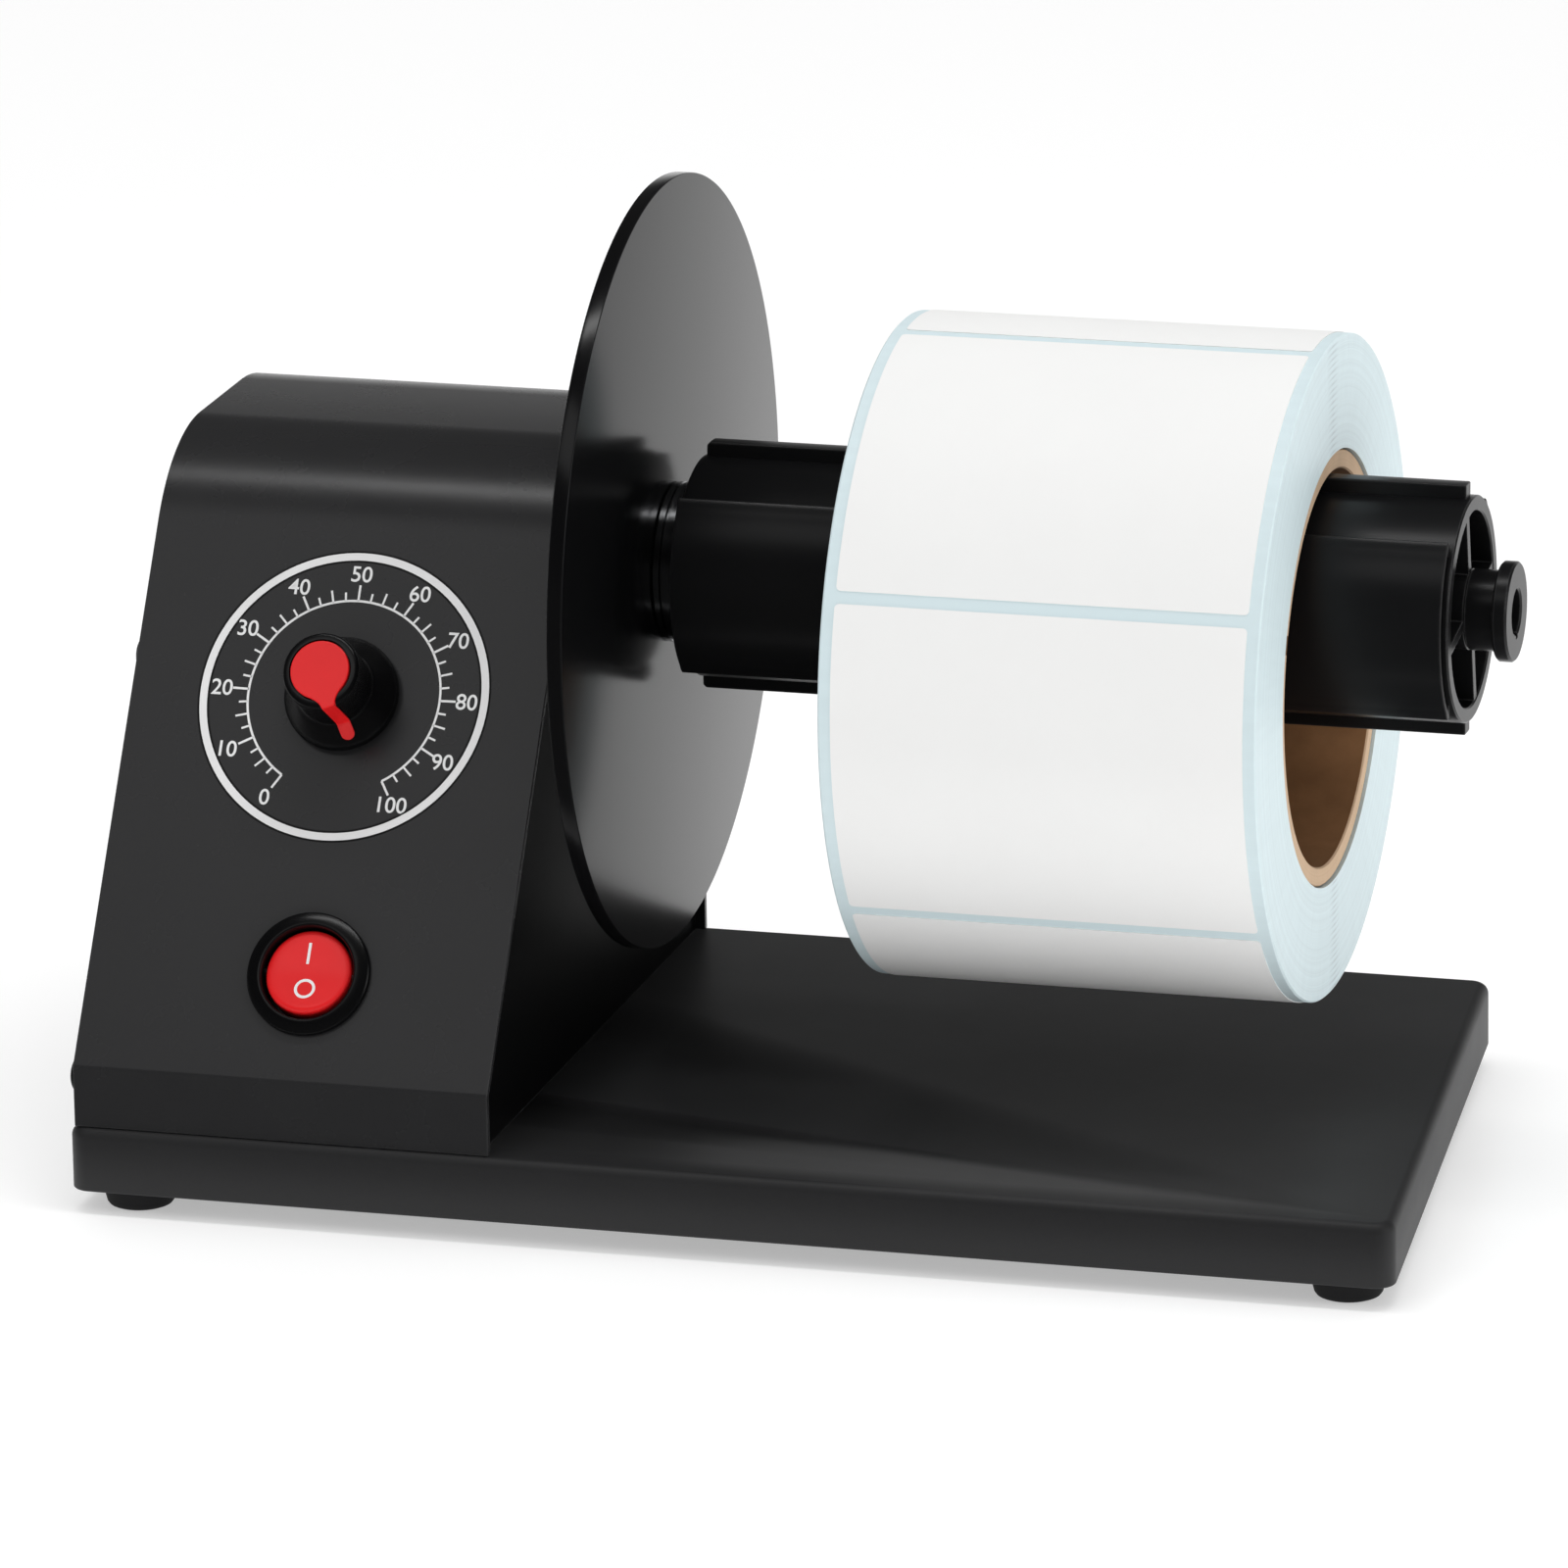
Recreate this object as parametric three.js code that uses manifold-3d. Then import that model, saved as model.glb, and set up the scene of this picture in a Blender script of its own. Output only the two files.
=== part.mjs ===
// A small powered label rewinder. A slanted control housing stands on the left of a folded tray and
// carries a horizontal spindle, on whose ribbed mandrel a roll of labels hangs by its cardboard core.
// Millimetres, +Z up. X runs along the spindle to its free end, and Y runs from the front to the rear.
// Places are set out from the tray's front left corner, at table height. At the end the whole group
// moves, so that its origin lies on the table under the middle of its bounding box.

import * as THREE from 'three';
import { mergeVertices } from 'three/addons/utils/BufferGeometryUtils.js';
import Module from 'manifold-3d';

const wasm = await Module();
wasm.setup();

const degree = Math.PI / 180;

// Facets
const largeSides = 48;
const shaftSides = 24;
const smallSides = 12;
const arcStep = 7.5 * degree;
const cornerStep = 22.5 * degree;
const bendSteps = 3;

// Clearances shared by all pieces
const seatGap = 0.05;
const looseGap = 0.3;
const runningGap = 0.08;
const cutOverrun = 2;
const weldTolerance = 0.0001;

// Tray: one folded sheet, open underneath, with its right side running inwards to the rear
const trayFrontWidth = 260;
const trayRearWidth = 244.7;
const trayDepth = 153;
const trayHeight = 12.5;
const traySheet = 1.5;
const trayCornerRadius = 4;
const trayBendRadius = 2;
const trayStandOff = 4.5;
const ventRadius = 12;
const ventInset = 29.5;
const ventSetBack = 36;

// Feet: rubber cones that reach up to bosses under the tray's top, each held by a screw from below
const footTopRadius = 7.5;
const footTipRadius = 6.5;
const footEdge = 0.8;
const footInsetLeft = 11.4;
const footInsetRight = 9.8;
const footInsetDepth = 9.6;
const footBossRadius = 5;
const footBossHeight = 3.5;
const footRecessRadius = 3.8;
const footRecessDepth = 4;
const footScrewRadius = 1.5;
const footScrewHeadRadius = 2.9;
const footScrewHeadHeight = 1.9;

// Housing cover: one bent sheet with a low band, a slanted panel, round shoulders and a back
const coverInsetLeft = 1.2;
const coverWidth = 82.8;
const coverInsetFront = 1.5;
const coverInsetRear = 1.5;
const coverSheet = 1.5;
const coverHeight = 119;
const bandHeight = 12;
const creaseRadius = 1.8;
const panelTilt = 57 * degree;
const frontShoulderRadius = 32;
const rearShoulderRadius = 37;
const lipDepth = 9;
const lipScrewRadius = 1.5;
const lipScrewHeadRadius = 2.8;
const lipScrewHeadHeight = 1.8;
const lipScrewReach = 2;
const lipScrewShares = [0.25, 0.75];

// Side plates and bulkhead: flat sheets inside the cover's ends, with a flange on the tray
const plateSheet = 1.5;
const plateInsetLeft = 0.5;
const plateInsetRight = 2;
const plateEdgeGap = 0.3;
const flangeWidth = 10;
const flangeGap = 3.5;
const beltBayWidth = 16.8;
const bulkheadSheet = 2;
const wireHoleRadius = 8;
const wireHoleRise = 20;
const wireHoleSetBack = 33;

// Tie posts between the left plate and the bulkhead, and the domed screws that enter them
const postRadius = 3.5;
const postDepth = 6.4;
const lowPostRise = 0.3;
const highPostRise = 84.7;
const postSpigotRadius = 2.2;
const postBoreDepth = 10;
const sideScrewRadius = 2;
const sideScrewReach = 8;
const sideHeadRadius = 3.35;
const sideHeadHeight = 2.4;
const sideHeadEdge = 1.1;

// Spindle shaft, bearings and retaining clip
const spindleY = 80;
const spindleRise = 96.8;
const shaftRadius = 6;
const shaftEndGap = 1.8;
const shaftShortfall = 17.2;
const bearingRadius = 12;
const bearingWidth = 6;
const blockRadius = 16;
const blockLip = 1.6;
const blockLipRadius = 9.5;
const shaftHoleGap = 2;
const clipWidth = 0.9;
const clipRadius = 8.4;
const clipGrooveDepth = 0.9;
const clipInset = 0.6;
const clipMouth = 70 * degree;

// Belt drive
const pulleyGap = 0.9;
const pulleyWidth = 10;
const pulleyFlangeWidth = 1;
const drivenPulleyRadius = 14;
const drivePulleyRadius = 8;
const pulleyFlangeHeight = 3;
const pulleyHoleCount = 5;
const pulleyHoleRadius = 2;
const beltThickness = 1.5;
const beltWidth = 7.4;

// Gearmotor, carried on the bulkhead below and behind the spindle
const motorSetBack = 20;
const motorDrop = 53.8;
const gearboxRadius = 18.5;
const gearboxLength = 22;
const pilotRadius = 6.5;
const pilotLength = 1.4;
const canRadius = 17.5;
const canLength = 29;
const canEndRadius = 6;
const canEndLength = 2;
const motorShaftRadius = 3;
const motorShaftDepth = 12;

// Flange disc and hub collar
const discRadius = 75;
const discThickness = 3;
const discStandOff = 12.6;
const discEdge = 0.4;
const discHubRadius = 10;
const discHubLength = 11;
const collarRadius = 15.5;
const collarWidth = 4.4;
const collarGrooveInset = 1.5;
const collarGrooveWidth = 0.5;
const collarGrooveDepth = 0.5;
const collarNeckRadius = 11;
const collarNeckLength = 1.1;

// Mandrel: a ring on a hub tube, with two hollow shells and two ribs standing on it.
// Angles are taken round the spindle from the front, upwards.
const mandrelLength = 152;
const ringRadius = 21.7;
const ringWall = 2.9;
const hubRadius = 7.75;
const spokeWidth = 2;
const spokeAngles = [80, 170, 260, 350];
const endWall = 2;
const ringEdge = 1.6;
const shellRadius = 24;
const shellWall = 1.2;
const shellSpans = [[-47, 47], [133, 227]];
const shellFootWidth = 2.4;
const ribRadius = 24.5;
const ribWidth = 4;
const ribAngles = [92, -90];
const lobeSetBack = 0.4;
const lobeChamfer = 0.6;
const shellEndInset = 1;

// End bush: a spigot in the hub tube, a neck and a flanged, bored and notched end
const bushSpigotLength = 15;
const bushNeckLength = 5.5;
const bushFlangeRadius = 9.6;
const bushFlangeWidth = 3;
const bushFlangeEdge = 0.4;
const bushBoreRadius = 4.3;
const bushNotchWidth = 1.6;
const bushNotchDepth = 1;
const bushNotchLength = 6;

// Roll of labels on a cardboard core, which hangs on the mandrel
const rollInset = 40.7;
const rollWidth = 84.3;
const rollRadius = 64;
const rollEdge = 0.5;
const coreRadius = 41.7;
const coreBoreRadius = 38.1;
const coreRecess = 0.6;

// Speed dial: a potentiometer behind the panel and a skirted knob with a pointer cap.
// Panel places are an X along the crease and a rise up the slant from it.
const dialX = 44;
const dialRise = 76.9;
const potRadius = 8;
const potDepth = 9;
const potTagWidth = 1.2;
const potTagLength = 4;
const potTagPitch = 4;
const potBushRadius = 4;
const potBushBore = 2.8;
const potBushRise = 4;
const potBoreDepth = 6;
const potShaftRadius = 2.5;
const potNutRadius = 5.6;
const potNutHeight = 2.2;
const knobStandOff = 0.6;
const knobHeight = 16.4;
const knobSkirtRadius = 11.3;
const knobSkirtEdge = 2;
const knobSkirtHeight = 4.9;
const knobShoulderRadius = 8.2;
const knobFootRadius = 7.3;
const knobTopRadius = 7.6;
const knobTopEdge = 0.5;
const knobRecessRadius = 6;
const knobRecessDepth = 4.6;
const knobBoreDepth = 12.5;
const knobTurn = 21.5 * degree;
const capRadius = 5.8;
const capThickness = 1;
const capRise = 0.3;
const capPointerRootWidth = 6;
const capPointerTipWidth = 2;
const capBarWidth = 2.8;
const capBarDepth = 0.9;
const capBarProud = 0.25;
const capBarLength = 11;

// Power switch: a round bezel and barrel with a rocker on a cross pin
const switchX = 45.5;
const switchRise = 21.4;
const bezelRadius = 12.15;
const bezelRise = 2;
const bezelEdge = 0.7;
const bezelInnerEdge = 1.4;
const switchWellRadius = 9.1;
const switchWellDepth = 6.6;
const barrelRadius = 10;
const barrelDepth = 18;
const terminalWidth = 4.8;
const terminalThickness = 0.8;
const terminalLength = 7;
const terminalPitch = 5.5;
const rockerRadius = 8.7;
const rockerPivotDepth = 1;
const rockerThickness = 4;
const rockerValley = 2;
const rockerTilt = 7 * degree;
const rockerPinRadius = 1.1;
const rockerPinReach = 9.7;

// Control board on standoffs, in front of the back panel and under the motor
const boardInset = 12;
const boardWidth = 35;
const boardInsetRear = 15;
const boardDepth = 76;
const boardThickness = 1.6;
const standoffHeight = 7;
const standoffRadius = 3;
const standoffInset = 4;
const capacitorRadius = 5;
const capacitorHeight = 10;
const capacitorShares = [[0.3, 0.2], [0.7, 0.2]];
const connectorHeight = 8;
const connectorShares = { left: 0.2, right: 0.8, front: 0.84, rear: 0.95 };
const sinkHeight = 11;
const sinkBase = 2;
const sinkFinWidth = 1.5;
const sinkFinCount = 5;
const sinkShares = { left: 0.18, right: 0.82, front: 0.42, rear: 0.64 };

// Low-voltage inlet in the back panel
const inletInset = 22;
const inletRise = 28;
const inletFlangeRadius = 6.5;
const inletFlangeWidth = 1.4;
const inletBarrelRadius = 4.5;
const inletBarrelLength = 12;
const inletBore = 2.8;
const inletBoreDepth = 9.5;
const inletPinRadius = 1;
const inletPinSetBack = 1;
const inletNutRadius = 7;
const inletNutHeight = 2.5;

// Places worked out from the sizes above
const trayTop = trayStandOff + trayHeight;
const trayTaper = (trayFrontWidth - trayRearWidth) / trayDepth;
const floorZ = trayTop + seatGap;
const coverLeft = coverInsetLeft;
const coverRight = coverLeft + coverWidth;
const coverFront = coverInsetFront;
const coverRear = trayDepth - coverInsetRear;
const coverTop = trayTop + coverHeight;
const creaseZ = trayTop + bandHeight;
const leftPlateX = coverLeft + plateInsetLeft;
const rightPlateX = coverRight - plateInsetRight - plateSheet;
const bulkheadX = leftPlateX + plateSheet + beltBayWidth;
const bulkheadRight = bulkheadX + bulkheadSheet;
const spindleZ = trayTop + spindleRise;
const discX = coverRight + discStandOff;
const collarX = discX + discThickness + seatGap;
const mandrelX = collarX + collarWidth + collarNeckLength + seatGap;
const mandrelEnd = mandrelX + mandrelLength;
const bushEnd = mandrelEnd + seatGap + bushNeckLength + bushFlangeWidth;
const shaftLeft = leftPlateX + plateSheet + shaftEndGap;
const shaftRight = mandrelEnd - shaftShortfall;
const rollDrop = coreBoreRadius - ribRadius - looseGap;

// Finishes as colour, roughness and metalness
const finishes = {
  panelPaint: [0x3c3c3e, 0.62, 0.1],
  trayPaint: [0x404042, 0.6, 0.1],
  rubber: [0x151515, 0.9, 0],
  steel: [0xb4b6b8, 0.35, 1],
  darkSteel: [0x55575a, 0.45, 1],
  zinc: [0xc6c8c4, 0.4, 1],
  discBlack: [0x58595b, 0.5, 0.4],
  mouldedBlack: [0x19191a, 0.4, 0],
  signalRed: [0xee3c3c, 0.4, 0],
  cardboard: [0xbea082, 0.9, 0],
  liner: [0xc8dce4, 0.7, 0],
  beltBlack: [0x1c1c1c, 0.8, 0],
  circuitGreen: [0x1f5a35, 0.5, 0],
  brass: [0xc9a64a, 0.35, 1],
};

// Solids from three.js geometries, and back to geometries after cuts and joins
function solidOf(geometry) {
  const bare = geometry.clone();
  bare.deleteAttribute('normal');
  bare.deleteAttribute('uv');
  const welded = mergeVertices(bare, weldTolerance);
  const vertProperties = welded.attributes.position.array;
  const triVerts = new Uint32Array(welded.index.array);
  return new wasm.Manifold(new wasm.Mesh({ numProp: 3, vertProperties, triVerts }));
}

function geometryOf(solid) {
  const { vertProperties, triVerts, numProp } = solid.getMesh();
  const geometry = new THREE.BufferGeometry();
  geometry.setAttribute('position', new THREE.BufferAttribute(vertProperties, numProp));
  geometry.setIndex(new THREE.BufferAttribute(triVerts, 1));
  geometry.computeVertexNormals();
  return geometry;
}

function joined(...geometries) {
  return geometryOf(geometries.map(solidOf).reduce((sum, next) => sum.add(next)));
}

function cut(geometry, ...cutters) {
  return geometryOf(cutters.map(solidOf).reduce((rest, next) => rest.subtract(next), solidOf(geometry)));
}

function common(geometry, other) {
  return geometryOf(solidOf(geometry).intersect(solidOf(other)));
}

// A named mesh with its own material, added to its group
function piece(group, name, geometry, finish, place = [0, 0, 0]) {
  const [color, roughness, metalness] = finishes[finish];
  const material = new THREE.MeshStandardMaterial({ color, roughness, metalness });
  const mesh = new THREE.Mesh(geometryOf(solidOf(geometry)), material);
  mesh.name = name;
  mesh.position.set(...place);
  group.add(mesh);
  return mesh;
}

// A geometry as it stands once its group's place is taken into account
function inPlaceOf(group, geometry) {
  group.updateMatrix();
  return geometry.clone().applyMatrix4(group.matrix);
}

// A body of revolution about +Z. The profile lists [height, radius] pairs round a closed section.
function revolved(profile, sides) {
  const points = profile.map(([height, radius]) => new THREE.Vector2(radius, height));
  if (THREE.ShapeUtils.isClockWise(points)) points.reverse();
  const onAxis = points.filter((point) => point.x === 0).length > 0;
  if (!onAxis) points.push(points[0].clone());
  while (onAxis && points[0].x !== 0) points.push(points.shift());
  if (onAxis && points[points.length - 1].x !== 0) points.push(points.shift());
  return new THREE.LatheGeometry(points, sides).rotateX(90 * degree);
}

function rod(radius, from, to, sides = smallSides) {
  return revolved([[from, 0], [from, radius], [to, radius], [to, 0]], sides);
}

function tube(inner, outer, from, to, sides = smallSides) {
  return revolved([[from, inner], [from, outer], [to, outer], [to, inner]], sides);
}

function prism(points, from, to, holes = []) {
  const shape = new THREE.Shape(points);
  shape.holes = holes.map((hole) => new THREE.Path(hole));
  const extruded = new THREE.ExtrudeGeometry(shape, { depth: to - from, bevelEnabled: false });
  return extruded.translate(0, 0, from);
}

function block([x0, x1], [y0, y1], [z0, z1]) {
  const box = new THREE.BoxGeometry(x1 - x0, y1 - y0, z1 - z0);
  return box.translate((x0 + x1) / 2, (y0 + y1) / 2, (z0 + z1) / 2);
}

// Turns what was made about or along +Z to lie along +X, its first two axes becoming Y and Z
const alongXMatrix = new THREE.Matrix4().makeBasis(
  new THREE.Vector3(0, 1, 0),
  new THREE.Vector3(0, 0, 1),
  new THREE.Vector3(1, 0, 0),
);

function alongX(geometry) {
  return geometry.clone().applyMatrix4(alongXMatrix);
}

// Round outlines, and circles of points at an angle
function polar(radius, angle) {
  return new THREE.Vector2(radius * Math.cos(angle), radius * Math.sin(angle));
}

function circle(radius, sides, centre = new THREE.Vector2()) {
  return Array.from({ length: sides }, (_, k) => polar(radius, (k / sides) * 360 * degree).add(centre));
}

function arc(radius, from, to, centre = new THREE.Vector2(), step = arcStep) {
  const steps = Math.max(1, Math.ceil(Math.abs(to - from) / step));
  return Array.from({ length: steps + 1 }, (_, k) => {
    return polar(radius, from + ((to - from) * k) / steps).add(centre);
  });
}

// A bent or rounded outline. Corners run clockwise and hold a point and a bend radius.
// The result lies inside the corners' own outline by the inset, with the bends concentric.
function bentOutline(corners, inset, closed = false, step = arcStep) {
  const count = corners.length;
  const heading = (i) => {
    const from = corners[(i + count) % count].at;
    const to = corners[(i + 1) % count].at;
    return new THREE.Vector2().subVectors(to, from).normalize();
  };
  const inward = (direction) => new THREE.Vector2(direction.y, -direction.x);
  return corners.flatMap(({ at, radius }, i) => {
    const isStart = !closed && i === 0;
    const isEnd = !closed && i === count - 1;
    const before = inward(heading(isStart ? i : i - 1));
    const after = inward(heading(isEnd ? i - 1 : i));
    const diagonal = before.clone().add(after).divideScalar(1 + before.dot(after));
    if (radius <= inset) return [at.clone().addScaledVector(diagonal, inset)];
    const centre = at.clone().addScaledVector(diagonal, radius);
    const from = Math.atan2(-before.y, -before.x);
    const turn = Math.acos(THREE.MathUtils.clamp(before.dot(after), -1, 1));
    return arc(radius - inset, from, from - turn, centre, step);
  });
}

// A solid through level rings of equally many points, which run anticlockwise and go upwards
function lofted(rings) {
  const count = rings[0].length;
  const positions = rings.flat().flatMap((point) => point.toArray());
  const indices = [];
  for (let level = 0; level + 1 < rings.length; level += 1) {
    for (let k = 0; k < count; k += 1) {
      const low = level * count;
      const high = low + count;
      const next = (k + 1) % count;
      indices.push(low + k, low + next, high + next, low + k, high + next, high + k);
    }
  }
  const lid = THREE.ShapeUtils.triangulateShape(rings[0].map((p) => new THREE.Vector2(p.x, p.y)), []);
  const top = (rings.length - 1) * count;
  lid.forEach(([a, b, c]) => {
    indices.push(c, b, a, top + a, top + b, top + c);
  });
  const geometry = new THREE.BufferGeometry();
  geometry.setAttribute('position', new THREE.Float32BufferAttribute(positions, 3));
  geometry.setIndex(indices);
  return geometry;
}

// Groups: the whole part, the spindle's axis, the roll's axis, the motor's axis and the slanted panel
const whole = new THREE.Group();

function frameAt(parent, x, y, z) {
  const frame = new THREE.Group();
  frame.position.set(x, y, z);
  parent.add(frame);
  return frame;
}

const spindleFrame = frameAt(whole, 0, spindleY, spindleZ);
const rollFrame = frameAt(whole, mandrelX + rollInset, spindleY, spindleZ - rollDrop);
const motorFrame = frameAt(whole, 0, spindleY + motorSetBack, spindleZ - motorDrop);
const panelFrame = frameAt(whole, 0, coverFront, creaseZ);
panelFrame.rotation.x = panelTilt;

// Tray

function trayRight(y) {
  return trayFrontWidth - trayTaper * y;
}

function trayOutline(inset) {
  const corners = [
    [0, 0],
    [0, trayDepth],
    [trayRearWidth, trayDepth],
    [trayFrontWidth, 0],
  ].map(([x, y]) => ({ at: new THREE.Vector2(x, y), radius: trayCornerRadius }));
  return bentOutline(corners, inset, true, cornerStep).reverse();
}

const footPlaces = [
  ['front_left', footInsetLeft, footInsetDepth],
  ['front_right', trayRight(footInsetDepth) - footInsetRight, footInsetDepth],
  ['rear_left', footInsetLeft, trayDepth - footInsetDepth],
  ['rear_right', trayRight(trayDepth - footInsetDepth) - footInsetRight, trayDepth - footInsetDepth],
];

const lipLeft = bulkheadRight + looseGap;
const lipRight = rightPlateX - looseGap;
const lipScrewPlaces = lipScrewShares.flatMap((share) => {
  const x = lipLeft + share * (lipRight - lipLeft);
  return [[x, coverFront + lipDepth / 2], [x, coverRear - lipDepth / 2]];
});

function makeTray() {
  const level = (z, inset) => trayOutline(inset).map((p) => new THREE.Vector3(p.x, p.y, z));
  const bend = Array.from({ length: bendSteps }, (_, k) => {
    const angle = ((k + 1) / bendSteps) * 90 * degree;
    const rise = trayBendRadius * Math.sin(angle);
    return level(trayTop - trayBendRadius + rise, trayBendRadius * (1 - Math.cos(angle)));
  });
  const outside = lofted([level(trayStandOff, 0), level(trayTop - trayBendRadius, 0), ...bend]);
  const inside = prism(trayOutline(traySheet), trayStandOff - cutOverrun, trayTop - traySheet);
  const underside = trayTop - traySheet;
  const bossBottom = underside - footBossHeight;
  const bosses = footPlaces.map(([, x, y]) => {
    return rod(footBossRadius, bossBottom, underside + traySheet / 2).translate(x, y, 0);
  });
  const bossHoles = footPlaces.map(([, x, y]) => {
    return rod(footScrewRadius + runningGap, bossBottom - cutOverrun, underside).translate(x, y, 0);
  });
  const screwHoles = lipScrewPlaces.map(([x, y]) => {
    const radius = lipScrewRadius + looseGap;
    return rod(radius, underside - cutOverrun, trayTop + cutOverrun).translate(x, y, 0);
  });
  const vent = rod(ventRadius, underside - cutOverrun, trayTop + cutOverrun, shaftSides);
  const holes = [...bossHoles, ...screwHoles, vent.translate(bulkheadRight + ventInset, ventSetBack, 0)];
  const shell = joined(cut(outside, inside), ...bosses);
  piece(whole, 'base_tray', cut(shell, ...holes), 'trayPaint');
}

function makeFeet() {
  const top = trayTop - traySheet - footBossHeight - seatGap;
  const bore = footScrewRadius + looseGap;
  const foot = revolved([
    [0, footRecessRadius],
    [0, footTipRadius - footEdge],
    [footEdge, footTipRadius],
    [trayStandOff, footTopRadius],
    [top, footTopRadius],
    [top, bore],
    [footRecessDepth, bore],
    [footRecessDepth, footRecessRadius],
  ], smallSides);
  const seat = footRecessDepth - seatGap;
  const screwTop = trayTop - traySheet - looseGap;
  const screw = revolved([
    [seat - footScrewHeadHeight, 0],
    [seat - footScrewHeadHeight, footScrewHeadRadius],
    [seat, footScrewHeadRadius],
    [seat, footScrewRadius],
    [screwTop, footScrewRadius],
    [screwTop, 0],
  ], smallSides);
  footPlaces.forEach(([corner, x, y]) => {
    piece(whole, `foot_${corner}`, foot, 'rubber', [x, y, 0]);
    piece(whole, `foot_screw_${corner}`, screw, 'zinc', [x, y, 0]);
  });
}

// Housing

function coverCorners() {
  const slantRun = (coverTop - creaseZ) / Math.tan(panelTilt);
  return [
    { at: new THREE.Vector2(coverFront, floorZ), radius: 0 },
    { at: new THREE.Vector2(coverFront, creaseZ), radius: creaseRadius },
    { at: new THREE.Vector2(coverFront + slantRun, coverTop), radius: frontShoulderRadius },
    { at: new THREE.Vector2(coverRear, coverTop), radius: rearShoulderRadius },
    { at: new THREE.Vector2(coverRear, floorZ), radius: 0 },
  ];
}

// A point under the slanted panel's outer face, as Y and Z
function underPanel(rise, depth) {
  const y = coverFront + rise * Math.cos(panelTilt) + depth * Math.sin(panelTilt);
  return new THREE.Vector2(y, creaseZ + rise * Math.sin(panelTilt) - depth * Math.cos(panelTilt));
}

function postPlaces() {
  const frontLow = underPanel(lowPostRise, postDepth);
  const shoulder = new THREE.Vector2(coverRear - rearShoulderRadius, coverTop - rearShoulderRadius);
  return [
    ['front_low', frontLow],
    ['front_high', underPanel(highPostRise, postDepth)],
    ['rear_low', new THREE.Vector2(coverRear - postDepth, frontLow.y)],
    ['rear_high', polar(rearShoulderRadius - postDepth, 45 * degree).add(shoulder)],
  ];
}

function makeCover() {
  const corners = coverCorners();
  const section = [...bentOutline(corners, 0), ...bentOutline(corners, coverSheet).reverse()];
  const sheet = alongX(prism(section, coverLeft, coverRight));
  const lipHeight = [floorZ, floorZ + coverSheet];
  const lip = (y0, y1) => block([lipLeft, lipRight], [y0, y1], lipHeight);
  const frontLip = lip(coverFront + coverSheet / 2, coverFront + lipDepth);
  const rearLip = lip(coverRear - lipDepth, coverRear - coverSheet / 2);
  const lipHoles = lipScrewPlaces.map(([x, y]) => {
    const hole = rod(lipScrewRadius + runningGap, floorZ - cutOverrun, floorZ + coverSheet + cutOverrun);
    return hole.translate(x, y, 0);
  });
  const throughPanel = (radius, x, rise) => {
    const hole = rod(radius, -coverSheet - cutOverrun, cutOverrun, shaftSides);
    return inPlaceOf(panelFrame, hole.translate(x, rise, 0));
  };
  const holes = [
    throughPanel(barrelRadius + looseGap, switchX, switchRise),
    throughPanel(potBushRadius + looseGap, dialX, dialRise),
    rod(inletBarrelRadius + looseGap, -coverSheet - cutOverrun, cutOverrun)
      .rotateX(-90 * degree)
      .translate(coverRight - inletInset, coverRear, trayTop + inletRise),
  ];
  piece(whole, 'housing_cover', cut(joined(sheet, frontLip, rearLip), ...lipHoles, ...holes), 'panelPaint');
}

function makeCoverScrews() {
  const seat = trayTop - traySheet - seatGap;
  const screwTop = floorZ + coverSheet + lipScrewReach;
  const screw = revolved([
    [seat - lipScrewHeadHeight, 0],
    [seat - lipScrewHeadHeight, lipScrewHeadRadius],
    [seat, lipScrewHeadRadius],
    [seat, lipScrewRadius],
    [screwTop, lipScrewRadius],
    [screwTop, 0],
  ], smallSides);
  lipScrewPlaces.forEach(([x, y], k) => {
    piece(whole, `cover_screw_${k + 1}`, screw, 'zinc', [x, y, 0]);
  });
}

// A flat sheet that fits the cover's section, with round holes as [radius, place, sides]
function housingPlate(x, sheet, holes) {
  const outline = bentOutline(coverCorners(), coverSheet + plateEdgeGap);
  const rings = holes.map(([radius, centre, sides = smallSides]) => circle(radius, sides, centre));
  return alongX(prism(outline, x, x + sheet, rings));
}

function plateFlange(x0, x1, sheet) {
  const front = coverFront + lipDepth + flangeGap;
  const rear = coverRear - lipDepth - flangeGap;
  return block([x0, x1], [front, rear], [floorZ, floorZ + sheet]);
}

const spindlePlace = new THREE.Vector2(spindleY, spindleZ);
const motorPlace = new THREE.Vector2(spindleY + motorSetBack, spindleZ - motorDrop);

function makePlates() {
  const screwHoles = postPlaces().map(([, place]) => [sideScrewRadius + runningGap, place]);
  const leftPlate = joined(
    housingPlate(leftPlateX, plateSheet, screwHoles),
    plateFlange(leftPlateX + plateSheet / 2, leftPlateX + plateSheet + flangeWidth, plateSheet),
  );
  piece(whole, 'side_plate_left', leftPlate, 'panelPaint');

  const rightPlate = joined(
    housingPlate(rightPlateX, plateSheet, [[shaftRadius + shaftHoleGap, spindlePlace, shaftSides]]),
    plateFlange(rightPlateX - flangeWidth, rightPlateX + plateSheet / 2, plateSheet),
  );
  piece(whole, 'side_plate_right', rightPlate, 'panelPaint');

  const spigotHoles = postPlaces().map(([, place]) => [postSpigotRadius + runningGap, place]);
  const wirePlace = new THREE.Vector2(coverFront + wireHoleSetBack, trayTop + wireHoleRise);
  const bulkhead = joined(
    housingPlate(bulkheadX, bulkheadSheet, [
      ...spigotHoles,
      [shaftRadius + shaftHoleGap, spindlePlace, shaftSides],
      [pilotRadius + runningGap, motorPlace, shaftSides],
      [wireHoleRadius, wirePlace, shaftSides],
    ]),
    plateFlange(bulkheadX + bulkheadSheet / 2, bulkheadRight + flangeWidth, bulkheadSheet),
  );
  piece(whole, 'bulkhead', bulkhead, 'zinc');
}

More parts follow.
